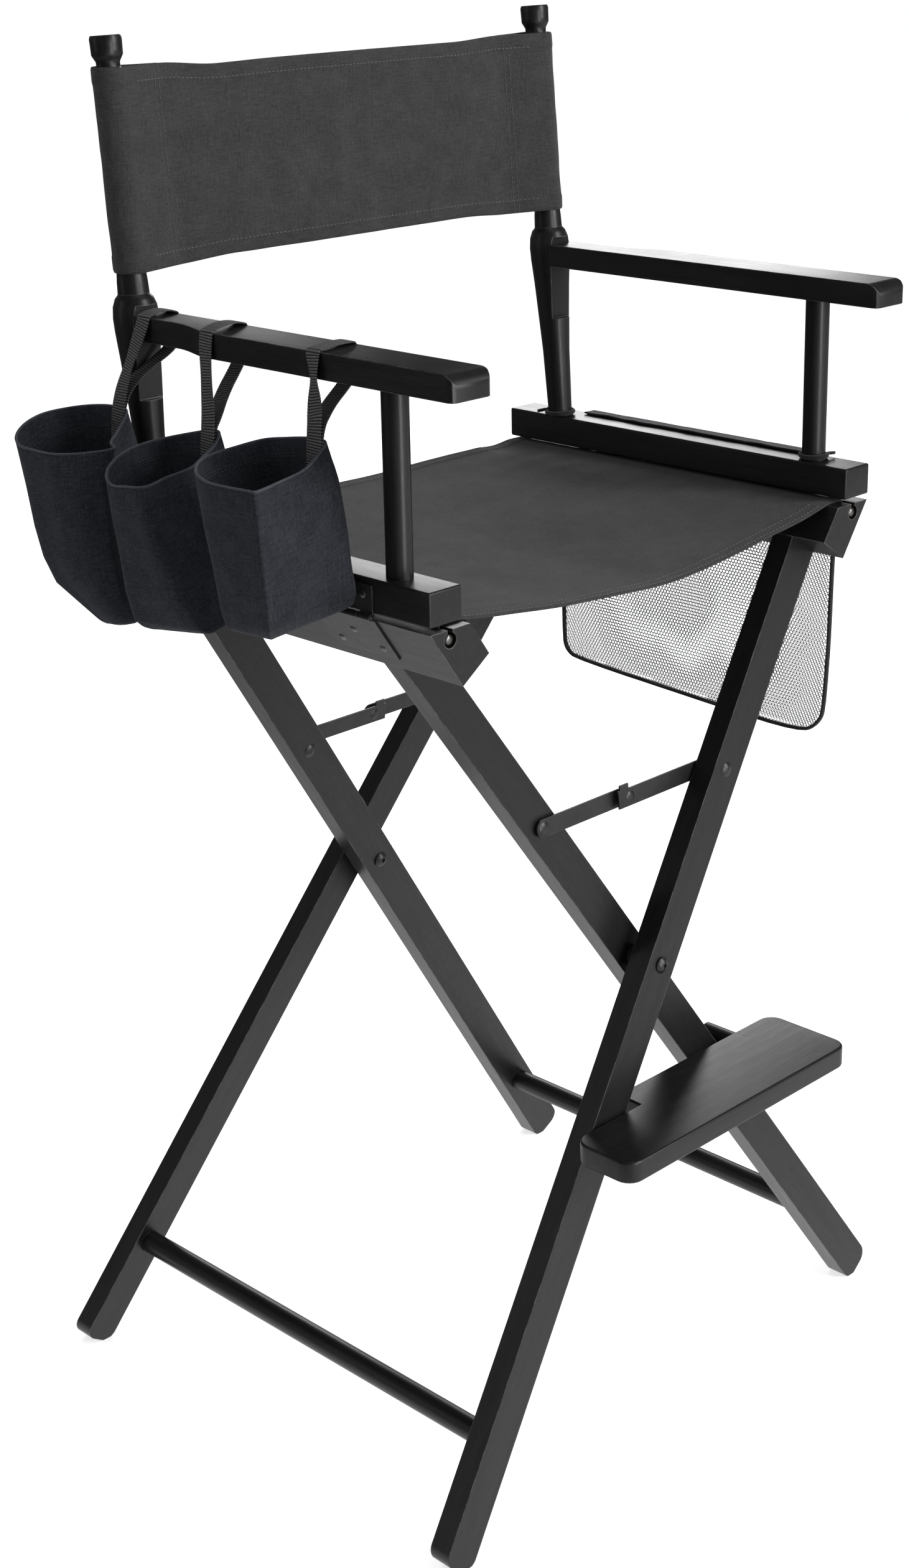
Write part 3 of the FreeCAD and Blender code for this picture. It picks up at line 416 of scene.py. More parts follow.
def tube(pts, r, seg=8, closed=False, flat=1.0, up=(0, 0, 1)):
    p = np.array(pts, float)
    n = len(p)
    if closed:
        tan_ = np.roll(p, -1, 0) - np.roll(p, 1, 0)
    else:
        tan_ = np.gradient(p, axis=0)
    tan_ /= np.linalg.norm(tan_, axis=1)[:, None] + 1e-12
    ref = np.array(up, float)
    side = np.cross(tan_, ref)
    bad = np.linalg.norm(side, axis=1) < 1e-3
    side[bad] = np.cross(tan_[bad], np.array([1.0, 0.2, 0]))
    side /= np.linalg.norm(side, axis=1)[:, None]
    nrm = np.cross(side, tan_)
    v = []
    for i in range(n):
        for k in range(seg):
            a = 2 * pi * k / seg
            v.append(p[i] + r * (cos(a) * side[i] * flat + sin(a) * nrm[i]))
    f = []
    for i in range(n if closed else n - 1):
        j = (i + 1) % n
        for k in range(seg):
            l = (k + 1) % seg
            f.append((i * seg + k, i * seg + l, j * seg + l, j * seg + k))
    if not closed:
        f.append(tuple(range(seg))[::-1])
        f.append(tuple((n - 1) * seg + k for k in range(seg)))
    return v, f


def stitches(path, normal, length=2.9, gap=1.3, r=0.34):
    """A row of thread stitches along a path in mm, standing a little off the cloth."""
    p, s = resample(path, 0.6)
    nn = np.array(normal, float)
    if nn.ndim == 1:
        nn = np.tile(nn, (len(path), 1))
    d = np.r_[0, np.cumsum(np.linalg.norm(np.diff(np.array(path, float), axis=0), axis=1))]
    nn = np.stack([np.interp(s, d, nn[:, k]) for k in range(3)], 1)
    nn /= np.linalg.norm(nn, axis=1)[:, None]
    V, F = [], []
    at = 0.6
    while at + length < s[-1]:
        pts = []
        for q in np.linspace(0, 1, 5):
            x = at + q * length
            c = np.array([np.interp(x, s, p[:, k]) for k in range(3)])
            m = np.array([np.interp(x, s, nn[:, k]) for k in range(3)])
            pts.append(c + m * (r * 0.9 * sin(pi * q) - 0.05))
        v, f = tube(pts, r, 6, up=tuple(nn[min(len(nn) - 1, int(at / 0.6))]))
        k = len(V)
        V += v
        F += [tuple(a + k for a in g) for g in f]
        at += length + gap
    return V, F


def to_m(v):
    v = np.array(v, float)
    return (v + np.array([OX, OY, 0.0])) / 1000.0


SEAT_BEND = ("frame_right", "frame_left", P(-218.0, 0, 0), P(218.0, 0, 0))
# The sleeves of the back canvas stay round their posts. BACK_SQ holds how far the panel between them must close up
# when the fold brings the posts from 2 POST_X apart to 39.8 mm.
SLEEVE = 15.5
BACK_SQ = (P(-POST_X + SLEEVE, 0, 1050), (39.8 - 2 * SLEEVE) / (2 * POST_X - 2 * SLEEVE))


# ---- seat canvas: round both rods, up the grooves, over the rails, sagging -----
SAG = 22.5


def seat_profile():
    h = []
    for k in range(0, 25):
        a = radians(75 - 330 * k / 24)
        h.append((-ROD_X + 4.7 * cos(a), ROD_Z + 4.7 * sin(a)))
    h += [(-ROD_X, ROD_Z + 6.2), (-ROD_X, RAIL_TOP - 0.6), (-ROD_X + 0.8, RAIL_TOP + 1.1),
          (-ROD_X + 3.0, RAIL_TOP + 1.35), (-222.5, RAIL_TOP + 1.35), (-219.0, RAIL_TOP + 1.2)]
    mid = []
    for k in range(1, 90):
        x = -217.0 + 434.0 * k / 90
        q = x / 217.0
        mid.append((x, RAIL_TOP + 1.0 - SAG * (1 - abs((x - 8.0 * (1 - q * q)) / 217.0) ** 1.7)))
    return h + mid + [(-x, z) for x, z in h[::-1]]


prof, ps = resample(seat_profile(), 3.2)
tang = np.gradient(prof, axis=0)
tang /= np.linalg.norm(tang, axis=1)[:, None]
pn = np.stack([-tang[:, 1], tang[:, 0]], 1)
Y0, Y1 = -186.0, 186.0
ys = np.r_[np.linspace(Y0, Y0 + 16, 12), np.linspace(Y0 + 20, Y1 - 20, 84), np.linspace(Y1 - 16, Y1, 12)]
fr, bk, uv = [], [], []
for (x, z), (nx, nz), s in zip(prof, pn, ps):
    fr.append([]), bk.append([]), uv.append([])
    span = max(0.0, 1 - abs(x / 217.0)) if z < RAIL_TOP + 1.2 and abs(x) < 217 else 0.0
    for y in ys:
        e = min(y - Y0, Y1 - y)
        ht = 0.72 + 0.55 * (1 / (1 + math.exp((e - 13.0) * 2.2)))
        if e < 1.2:
            ht *= 0.55 + 0.45 * (e / 1.2)
        fade = min(1.0, span * 6)
        pull = math.exp(-((217 - abs(x)) / 55.0)) * fade
        rip = 0.9 * pull * sin(y / 5.6 + 1.3 * noise.noise(Vector((x * 0.01, y * 0.02, 3))))
        soft = fade * 1.8 * noise.noise(Vector((x * 0.012, y * 0.016, 7.7)))
        belly = -2.5 * span * 2 * (1 - (2 * y / (Y1 - Y0)) ** 2) * fade
        back = (y - Y0) / (Y1 - Y0)                  # drawn tight along the rear edge
        back = back * back * (3 - 2 * back)
        d = rip + soft + belly + (RAIL_TOP + 1.0 - z) * 0.93 * back * fade
        wave = 0.7 * noise.noise(Vector((x * 0.03, 5.0, 1.0 if y > 0 else 2.0))) * math.exp(-e / 6.0)
        fr[-1].append((x + nx * (ht + d), y + wave, z + nz * (ht + d)))
        bk[-1].append((x + nx * (-ht + d), y + wave, z + nz * (-ht + d)))
        uv[-1].append((s, y))
v, f, u = slab(fr, bk, uv)
seat = piece("seat_canvas_cloth", to_m(v), f, F_CANVAS, "arm_right", ("seat_canvas",), u, blend=SEAT_BEND)
fr = np.array(fr)
V, F = [], []
for yy in (Y0 + 11.5, Y1 - 11.5, Y0 + 3.0, Y1 - 3.0):
    j = int(np.argmin(abs(ys - yy)))
    keep = [i for i in range(len(prof)) if abs(prof[i, 0]) < 214]
    a, b = stitches([fr[i, j] for i in keep], (0, 0, 1))
    F += [tuple(k + len(V) for k in g) for g in b]
    V += a
piece("seat_canvas_stitching", to_m(V), F, T_CANVAS, "arm_right", blend=SEAT_BEND)


# ---- back canvas: a panel whose ends wrap the posts and are sewn back --------------
def back_path():
    r = 12.75
    a = [(-POST_X + 47.5, 1.75), (-POST_X + 30, 4.6), (-POST_X + 14, 9.4)]
    for k in range(0, 25):
        g = radians(68 + 224 * k / 24)
        a.append((-POST_X + r * cos(g), r * sin(g)))
    a += [(-POST_X + 14, -9.6), (-POST_X + 30, -5.2), (-POST_X + 44, -1.0), (-POST_X + 52, 0.0)]
    left = a
    right = [(-x, y) for x, y in a[::-1]]
    mid = [(x, 0.0) for x in np.linspace(-POST_X + 60, POST_X - 60, 60)]
    return left + mid + right


bp, bs = smooth_path(back_path(), 2.6, 1)
bt = np.gradient(bp, axis=0)
bt /= np.linalg.norm(bt, axis=1)[:, None]
bn = np.stack([bt[:, 1], -bt[:, 0]], 1)              # outward, -Y on the front panel
tv = np.r_[np.linspace(0, 0.11, 10), np.linspace(0.13, 0.87, 44), np.linspace(0.89, 1.0, 10)]
fr, bk, uv = [], [], []
H = BC1 - BC0
for (x, y), (nx, ny), s in zip(bp, bn, bs):
    fr.append([]), bk.append([]), uv.append([])
    q = min(1.0, max(0.0, (POST_X - 46 - abs(x)) / 60.0))
    q = q * q * (3 - 2 * q)
    lop = 1 + 0.5 * math.exp(-((x + 150) / 60.0) ** 2)
    dip, arch = 2.6 * q * lop, 2.6 * q
    for t in tv:
        e = min(t, 1 - t) * H
        z = BC0 + arch * (1 - t) ** 1.5 + t * H - dip * t ** 1.5
        ht = 0.72 + 0.55 / (1 + math.exp((e - 12.5) * 2.2))
        if e < 1.2:
            ht *= 0.55 + 0.45 * (e / 1.2)
        d = q * (2.6 * noise.noise(Vector((x * 0.009, z * 0.012, 2.2))) + 0.9 * noise.noise(Vector((x * 0.04, z * 0.02, 5))))
        d += 0.6 * (1 - q) * noise.noise(Vector((x * 0.05, z * 0.045, 9.1)))
        pull = math.exp(-max(0.0, POST_X - 46 - abs(x)) / 30.0) * min(1.0, max(0.0, (POST_X - 44 - abs(x)) / 8.0))
        d += 0.55 * pull * sin(z / 4.6)
        d = max(d, -0.5) if abs(x) > POST_X - 20 else d
        py = post_y(z)
        fr[-1].append((x + nx * (ht + d), py + y + ny * (ht + d), z))
        bk[-1].append((x + nx * (-ht + d), py + y + ny * (-ht + d), z))
        uv[-1].append((s, z))
v, f, u = slab(fr, bk, uv)
v, u = np.array(v), np.array(u)
whole = bpy.data.meshes.new("whole")
whole.from_pydata([tuple(c) for c in v], [], [tuple(g) for g in f])
whole.update()
wn = np.array([w.vector[:] for w in whole.vertex_normals])
for name, body, inside, stands, sq in (
        ("back_canvas_cloth", "arm_right", lambda x: abs(x) <= POST_X - SLEEVE, ("back_canvas",), BACK_SQ),
        ("back_canvas_sleeve_right", "arm_right", lambda x: x < -POST_X + SLEEVE, (), None),
        ("back_canvas_sleeve_left", "arm_left", lambda x: x > POST_X - SLEEVE, (), None)):
    part = [g for g in f if inside(float(np.mean(v[list(g), 0])))]
    used = sorted({k for g in part for k in g})
    new = {k: i for i, k in enumerate(used)}
    piece(name, to_m(v[used]), [tuple(new[k] for k in g) for g in part], F_CANVAS, body, stands, u[used],
          squash=sq, normals=wn[used])
fr = np.array(fr)
V, F = [], []


def add(vf):
    global V, F
    k = len(V)
    V = V + list(vf[0])
    F = F + [tuple(a + k for a in g) for g in vf[1]]


front = [i for i in range(len(bp)) if bp[i, 1] < 1.2 and abs(bp[i, 0]) < POST_X - SLEEVE - 1]
for xx in (POST_X - 44.5, POST_X - 40.0):
    for sx in (-1, 1):
        i = min(front, key=lambda k: abs(bp[k, 0] - sx * xx))
        add(stitches([fr[i, j] for j in range(len(tv))], (0, -1, 0)))
for t in (0.075, 0.925):
    j = int(np.argmin(abs(tv - t)))
    add(stitches([fr[i, j] for i in front], (0, -1, 0)))
piece("back_canvas_stitching", to_m(V), F, T_CANVAS, "arm_right", squash=BACK_SQ)


# ---- tool pockets -------------------------------------------------------------
def rounded(poly, radii, n):
    """A closed polygon with its own radius at each corner, sampled evenly."""
    out = []
    m = len(poly)
    for i in range(m):
        a, b, c = (np.array(poly[(i + k) % m], float) for k in (-1, 0, 1))
        r = radii[i]
        ua, uc = (a - b) / np.linalg.norm(a - b), (c - b) / np.linalg.norm(c - b)
        p0, p1 = b + ua * r, b + uc * r
        for t in np.linspace(0, 1, 9):
            out.append((1 - t) ** 2 * p0 + 2 * t * (1 - t) * b + t * t * p1)
    out.append(out[0])
    p, _ = resample(out, 0.5)
    d = np.r_[0, np.cumsum(np.linalg.norm(np.diff(p, axis=0), axis=1))]
    s = np.linspace(0, d[-1], n, endpoint=False)
    return np.stack([np.interp(s, d, p[:, k]) for k in range(2)], 1)


def spline(pts, n):
    """Closed smooth curve through pts, n samples to each span."""
    p = np.array(pts, float)
    m = len(p)
    out = []
    for i in range(m):
        p0, p1, p2, p3 = p[i - 1], p[i], p[(i + 1) % m], p[(i + 2) % m]
        d1, d2, d3 = (max(1e-6, np.linalg.norm(b - a)) ** 0.5 for a, b in ((p0, p1), (p1, p2), (p2, p3)))
        m1 = ((p1 - p0) / d1 - (p2 - p0) / (d1 + d2) + (p2 - p1) / d2) * d2
        m2 = ((p2 - p1) / d2 - (p3 - p1) / (d2 + d3) + (p3 - p2) / d3) * d2
        for t in np.arange(n) / n:
            out.append((2 * t ** 3 - 3 * t * t + 1) * p1 + (t ** 3 - 2 * t * t + t) * m1
                       + (3 * t * t - 2 * t ** 3) * p2 + (t ** 3 - t * t) * m2)
    return np.array(out)


def along(pts, t):
    """Point at the share t of an open polyline."""
    p = np.array(pts, float)
    d = np.r_[0, np.cumsum(np.linalg.norm(np.diff(p, axis=0), axis=1))]
    return np.array([np.interp(t * d[-1], d, p[:, k]) for k in range(3)])


def pocket(tag, rim, corners, edges, seed):
    """A soft bucket. rim: points round the mouth; corners: where in the rim the
    four upright edges start; edges: those four edges from rim to bottom."""
    NL, M = 58, 8
    rim = np.array(rim, float)
    nr = len(rim)
    share = np.zeros((nr, 2))
    for c in range(4):
        i0, i1 = corners[c], corners[(c + 1) % 4]
        span = (i1 - i0) % nr
        idx = [(i0 + k) % nr for k in range(span + 1)]
        d = np.r_[0, np.cumsum(np.linalg.norm(np.diff(rim[idx], axis=0), axis=1))]
        for k in range(span):
            share[idx[k]] = (c, d[k] / d[-1])
    tops = [rim[c] for c in corners]
    off0 = []
    for i in range(nr):
        c, q = int(share[i][0]), share[i][1]
        off0.append(rim[i] - ((1 - q) * tops[c] + q * tops[(c + 1) % 4]))
    rings, inner = [], []
    for k in range(NL):
        t = k / (NL - 1)
        e4 = [along(edges[c], t) for c in range(4)]
        pts = []
        for i in range(nr):
            c, q = int(share[i][0]), share[i][1]
            base = (1 - q) * e4[c] + q * e4[(c + 1) % 4]
            keep = math.exp(-t * 2.6) if c in (0, 3) else math.exp(-t * 1.1)
            o = off0[i] * np.array([keep, keep, math.exp(-t * 3.2)])
            pts.append(base + o)
        ring = spline(pts, M)
        cc = ring.mean(0)
        close = 1.0 if t < 0.95 else math.sqrt(max(0.0, 1 - ((t - 0.95) / 0.05) ** 2)) * 0.09 + 0.91
        ro, ri = [], []
        for x, y, z in ring:
            against = 1 / (1 + math.exp((-272.5 - x) * -0.9))
            n1 = noise.noise(Vector((x * 0.020 + seed, y * 0.020, z * 0.012)))
            n2 = noise.noise(Vector((x * 0.055, y * 0.055 + seed, z * 0.028)))
            sagf = 0.9 * sin(z / 8.5 + seed * 2.1 + y * 0.10 + 2.0 * n1) * math.exp(-((t - 0.86) / 0.12) ** 2)
            d = (2.4 * n1 + 0.9 * n2 + sagf + 1.6 * sin(pi * t)) * (1 - against) * min(1.0, t * 6 + 0.12)
            rel = np.array([x - cc[0], y - cc[1]])
            rad = np.linalg.norm(rel)
            px, py = cc[:2] + rel * ((rad + d) / rad * close)
            px = min(px, -266.8)
            ro.append((px, py, z))
            si = max(0.2, (rad - 1.7) / rad)
            qx, qy = cc[:2] + (np.array([px, py]) - cc[:2]) * si
            ri.append((qx, qy, z + (2.2 * max(0.0, (t - 0.9) / 0.1))))
        rings.append(ro)
        inner.append(ri)
    NP = nr * M
    v = [p for r in rings for p in r] + [p for r in inner for p in r]
    k0 = NL * NP
    f = []
    for k in range(NL - 1):
        for i in range(NP):
            j = (i + 1) % NP
            f.append((k * NP + i, (k + 1) * NP + i, (k + 1) * NP + j, k * NP + j))
            f.append((k0 + k * NP + i, k0 + k * NP + j, k0 + (k + 1) * NP + j, k0 + (k + 1) * NP + i))
    for i in range(NP):
        j = (i + 1) % NP
        f.append((i, j, k0 + j, k0 + i))
    co, ci = np.mean(rings[-1], 0) - np.array([0, 0, 1.2]), np.mean(inner[-1], 0) + np.array([0, 0, 0.6])
    v += [tuple(co), tuple(ci)]
    for i in range(NP):
        j = (i + 1) % NP
        f.append(((NL - 1) * NP + i, len(v) - 2, (NL - 1) * NP + j))
        f.append((k0 + (NL - 1) * NP + i, k0 + (NL - 1) * NP + j, len(v) - 1))
    top = np.array(rings[0])
    per = np.r_[0, np.cumsum(np.linalg.norm(np.diff(top, axis=0), axis=1))]
    H = 125.0
    uvs = [(per[i], H * k / (NL - 1)) for k in range(NL) for i in range(NP)] * 2 + [(0, H), (0, H)]
    piece("pocket_%s_cloth" % tag, to_m(v), f, F_POCKET, "arm_right", ("pocket_" + tag,), uvs)
    lip = (np.array(rings[0]) + np.array(inner[0])) / 2
    a, b = tube(lip, 1.05, 8, closed=True, flat=1.0)
    uvl = [(per[i // 8 % NP], (i % 8) * 0.9) for i in range(len(a))]
    piece("pocket_%s_hem_edge" % tag, to_m(a), b, F_HEM, "arm_right", uvs=uvl)
    VV, FF = [], []
    for lvl, src, sgn in ((5, inner, -1), (6, inner, -1)):
        path = np.array(src[lvl] + [src[lvl][0]])
        nn = path - np.r_[[np.mean(path, 0)]]
        nn[:, 2] = 0
        a, b = stitches(path, nn * sgn, 2.4, 1.1, 0.24)
        FF += [tuple(q + len(VV) for q in g) for g in b]
        VV += a
    piece("pocket_%s_stitching" % tag, to_m(VV), FF, T_POCKET, "arm_right")


# mouth outlines start at the upper front corner beside the arm and run outward
pocket("front", [
    (-267.0, -106.5, 885.3), (-276.0, -106.0, 876.0), (-288.0, -107.5, 869.9), (-318.0, -113.0, 866.7), (-338.0, -117.0, 865.6),
    (-344.6, -117.3, 865.4), (-345.8, -112.2, 865.6), (-347.3, -93.4, 865.2), (-347.0, -66.8, 865.6), (-343.0, -51.7, 868.9),
    (-334.0, -43.1, 872.5), (-319.0, -38.2, 874.9), (-296.0, -38.8, 877.0), (-272.0, -44.4, 879.5), (-267.2, -63.0, 882.4),
    (-267.0, -82.7, 885.4), (-267.0, -99.4, 887.0)], (0, 5, 9, 13), (
    [(-267.0, -106.5, 885.3), (-267.0, -116.2, 861.2), (-267.0, -124.6, 821.9), (-267.0, -128.4, 794.7), (-267.5, -132.7, 778.7), (-269.0, -131.0, 769.0)],
    [(-344.6, -117.3, 865.4), (-347.0, -122.4, 846.5), (-347.0, -125.1, 811.2), (-345.0, -125.3, 785.2), (-340.0, -120.2, 765.0), (-334.0, -113.5, 756.0)],
    [(-343.0, -51.7, 868.9), (-347.0, -63.0, 834.6), (-347.0, -70.4, 806.7), (-345.0, -74.9, 773.6), (-341.0, -75.0, 760.0), (-335.0, -74.0, 755.5)],
    [(-272.0, -44.4, 879.5), (-270.0, -54.0, 840.0), (-269.0, -64.0, 806.0), (-269.0, -72.0, 781.0), (-270.0, -78.0, 768.0), (-272.0, -80.0, 765.0)]), 1.7)
pocket("mid", [
    (-267.0, 11.1, 875.6), (-270.0, 11.4, 868.8), (-285.0, 10.4, 859.9), (-296.0, 9.3, 854.8), (-322.0, 9.0, 851.4),
    (-339.0, 7.7, 848.9), (-344.8, 10.5, 848.3), (-346.8, 25.4, 846.9), (-347.0, 41.3, 845.6), (-345.0, 50.3, 849.7),
    (-337.0, 56.7, 855.8), (-320.0, 58.4, 863.7), (-302.0, 57.6, 866.9), (-283.0, 52.6, 868.8), (-272.0, 43.7, 870.9),
    (-267.4, 31.2, 873.8), (-267.0, 18.7, 876.7)], (0, 5, 9, 13), (
    [(-267.0, 11.1, 875.6), (-267.0, 2.0, 850.0), (-267.0, -11.0, 812.0), (-267.0, -22.0, 780.0), (-268.0, -32.0, 756.0), (-270.0, -35.0, 751.0)],
    [(-339.0, 7.7, 848.9), (-343.0, 0.0, 826.0), (-342.0, -12.0, 796.0), (-338.0, -24.0, 766.0), (-331.0, -34.0, 747.0), (-325.0, -38.0, 742.5)],
    [(-345.0, 50.3, 849.7), (-347.0, 43.0, 822.0), (-347.0, 36.6, 793.9), (-345.0, 34.7, 765.8), (-341.0, 31.9, 744.3), (-335.0, 28.5, 736.5)],
    [(-283.0, 52.6, 868.8), (-283.0, 52.0, 834.0), (-281.0, 50.0, 804.0), (-279.0, 46.0, 777.0), (-278.0, 38.0, 756.0), (-278.0, 33.0, 750.0)]), 4.2)
pocket("rear", [
    (-267.0, 121.9, 877.2), (-285.0, 112.2, 864.1), (-297.0, 104.0, 860.3), (-301.5, 97.5, 859.7), (-306.0, 88.3, 859.5),
    (-312.0, 86.4, 859.2), (-322.0, 90.0, 858.7), (-336.0, 99.8, 858.0), (-344.0, 115.3, 857.1), (-345.0, 140.7, 856.9),
    (-345.0, 158.8, 858.4), (-341.0, 167.0, 863.0), (-330.0, 172.2, 869.0), (-312.0, 174.1, 874.0), (-288.0, 170.5, 875.8),
    (-272.0, 160.4, 876.8), (-267.0, 140.3, 878.3)], (0, 5, 10, 15), (
    [(-267.0, 121.9, 877.2), (-267.0, 112.0, 850.0), (-267.0, 100.0, 812.0), (-267.0, 88.0, 780.0), (-268.0, 72.0, 752.0), (-271.0, 68.0, 746.0)],
    [(-312.0, 86.4, 859.2), (-322.0, 82.0, 830.0), (-326.0, 76.0, 798.0), (-327.0, 69.0, 768.0), (-325.0, 60.0, 740.0), (-321.0, 57.0, 731.0)],
    [(-345.0, 158.8, 858.4), (-346.0, 149.3, 826.2), (-346.0, 143.0, 797.2), (-344.0, 137.5, 773.7), (-341.0, 127.6, 754.6), (-335.0, 105.5, 740.0), (-330.0, 86.0, 727.5)],
    [(-272.0, 160.4, 876.8), (-271.0, 156.0, 836.0), (-271.0, 151.0, 800.0), (-271.0, 144.0, 770.0), (-272.0, 128.0, 750.0), (-274.0, 112.0, 744.0)]), 8.9)


# ---- webbing ------------------------------------------------------------------
RIB = 2.1


def strap(path, widths, yaw, wdir0, th=1.25):
    """A flat tape ribbed crosswise: width direction wdir0 turned by yaw about the path."""
    p = np.array(path, float)
    t = np.gradient(p, axis=0)
    t /= np.linalg.norm(t, axis=1)[:, None]
    V, F, U = [], [], []
    sec = [(a, 1.0) for a in (-0.5, -0.49, -0.46, -0.4, -0.2, 0.0, 0.2, 0.4, 0.46, 0.49, 0.5)]
    sec = [(a, (1 - (abs(a) / 0.5) ** 14) ** 0.5 if abs(a) < 0.5 else 0.18) for a, _ in sec]
    sec = sec + [(a, -h) for a, h in sec[::-1]]
    ns = len(sec)
    s = np.r_[0, np.cumsum(np.linalg.norm(np.diff(p, axis=0), axis=1))]
    for i in range(len(p)):
        w = np.array(wdir0, float)
        w = w - t[i] * (w @ t[i])
        w /= np.linalg.norm(w)
        n = np.cross(t[i], w)
        c, q = cos(yaw[i]), sin(yaw[i])
        w2, n2 = w * c + n * q, n * c - w * q
        rib = 0.48 + 0.72 * abs(sin(pi * s[i] / RIB)) ** 0.8
        wide = widths[i] * (0.975 + 0.03 * abs(sin(pi * s[i] / RIB)))
        for a, h in sec:
            V.append(p[i] + w2 * a * wide + n2 * h * rib * th / 2)
            U.append((s[i], a * widths[i] + (200 if h < 0 else 0)))
    for i in range(len(p) - 1):
        for k in range(ns):
            l = (k + 1) % ns
            F.append((i * ns + k, i * ns + l, (i + 1) * ns + l, (i + 1) * ns + k))
    F.append(tuple(range(ns))[::-1])
    F.append(tuple((len(p) - 1) * ns + k for k in range(ns)))
    return V, F, U


def loop(tag, outer, over, under, twist):
    """Up the outside of the armrest, over it, under it and back to the pocket.
    outer and under run away from the pocket; twist: (height, radians) pairs."""
    pts = list(outer) + list(over) + list(under)
    p, s = smooth_path(pts, 0.35, 3)
    L = s[-1]
    zo = max(q[2] for q in p)
    it = int(np.argmax(p[:, 2]))
    yaw, wid = [], []
    for i, q in enumerate(p):
        tw = 0.0
        for side, z, amp, wd in twist:
            if (i < it) == (side == 0):
                tw += amp * math.exp(-((q[2] - z) / wd) ** 2)
        yaw.append(tw)
        wid.append(15.0 - 1.4 * min(1.0, abs(tw)))
    v, f, u = strap(p, wid, yaw, (0, 1, 0))
    piece("pocket_%s_webbing" % tag, to_m(v), f, F_WEB, "arm_right", ("pocket_loop_" + tag,), u, smooth=True)
    y0, z0 = outer[0][1], outer[0][2]
    VV, FF = [], []
    for dz in (3, 5, 15, 17):
        a, b = stitches([(-272.9, y0 - 6.3, z0 + dz), (-272.9, y0 + 6.3, z0 + dz)], (-1, 0, 0), 2.0, 0.8, 0.3)
        FF += [tuple(q + len(VV) for q in g) for g in b]
        VV += a
    piece("pocket_%s_bar_tacks" % tag, to_m(VV), FF, T_POCKET, "arm_right")


def across(yo, yi, rise, xo):
    """The part lying over the armrest, bowed up a little in the middle."""
    top = REST_HI + 1.1
    o, i = xo - 1.1, X_IN + 1.1
    return [(o, yo, top - 3.5), (o + 0.5, yo, top - 0.4), (o + 2.5, yo, top + 0.4),
            (o * 0.75 + i * 0.25, yo * 0.8 + yi * 0.2, top + 0.75 * rise), (o * 0.5 + i * 0.5, yo * 0.5 + yi * 0.5, top + rise),
            (o * 0.25 + i * 0.75, yo * 0.2 + yi * 0.8, top + 0.75 * rise), (i - 2.5, yi, top + 0.4), (i - 0.5, yi, top - 0.4), (i, yi, top - 3.5),
            (i, yi, REST_LO + 4), (i - 0.3, yi, REST_LO)]


loop("front", [(-271.9, -97.0, 858), (-271.9, -97.5, 873), (-271.6, -98.0, 888), (-268.9, -96.6, 901), (-267.0, -94.8, 906), (-265.0, -92.9, 914),
               (-263.2, -90.8, 926), (-262.0, -89.4, 938)],
     across(-88.5, -83.0, 1.2, X_OUT),
     [(-225.0, -83.4, 920.0), (-233.0, -84.6, 914.6), (-247.0, -88.6, 907.7), (-258.0, -93.6, 902.0), (-266.0, -97.4, 896.5), (-270.1, -98.6, 886.0), (-270.3, -98.0, 873.0), (-270.3, -97.0, 858.0)],
     ((0, 929, -0.42, 12.0), (1, 903, 0.05, 8.0)))
loop("mid", [(-271.9, 22.0, 850), (-271.9, 21.5, 864), (-271.0, 20.8, 877), (-268.0, 23.0, 889), (-265.6, 26.0, 902), (-263.6, 28.2, 917),
             (-262.5, 29.4, 930), (-261.9, 29.4, 939)],
     across(29.0, 37.0, 2.8, X_OUT),
     [(-225.0, 37.5, 918.0), (-231.0, 37.0, 911.0), (-241.0, 34.6, 902.0), (-252.0, 29.6, 892.5), (-261.5, 23.8, 884.0), (-268.6, 21.4, 876.5), (-270.3, 21.6, 864.0), (-270.3, 22.0, 850.0)],
     ((0, 915, -0.12, 20.0), (1, 900, 0.0, 10.0)))
loop("rear", [(-271.9, 131.0, 851), (-271.9, 129.6, 864), (-271.3, 128.2, 878), (-268.0, 128.4, 889), (-264.5, 128.4, 898), (-260.5, 126.8, 909),
              (-256.4, 123.6, 922), (-252.6, 119.4, 936)],
     across(117.4, 118.2, 2.6, X_NAR),
     [(-224.6, 119.0, 920.5), (-231.0, 121.0, 915.4), (-240.0, 124.2, 909.4), (-249.0, 126.8, 902.8), (-257.0, 128.0, 896.6), (-264.5, 128.4, 889.0), (-269.9, 128.6, 877.0), (-270.3, 129.8, 864.0), (-270.3, 131.0, 851.0)],
     ((0, 912, -0.22, 15.0), (1, 905, 0.05, 9.0)))

# ---- net bag ------------------------------------------------------------------
OUT = [(-157, 762), (-157, 700), (-153, 560), (-146, 543), (-128, 532), (-30, 535), (142, 543), (156, 549), (160, 562), (160, 762)]
op, _ = smooth_path([(y, z) for y, z in OUT] + [OUT[0]], 3.0, 2)


def inside(y, z, inset):
    """Signed test against the bag's outline, pulled in by inset."""
    hit = False
    n = len(op)
    for i in range(n):
        (y0, z0), (y1, z1) = op[i - 1], op[i]
        if (z0 > z) != (z1 > z) and y < (y1 - y0) * (z - z0) / (z1 - z0) + y0:
            hit = not hit
    return hit and np.min(np.hypot(op[:, 0] - y, op[:, 1] - z)) > inset


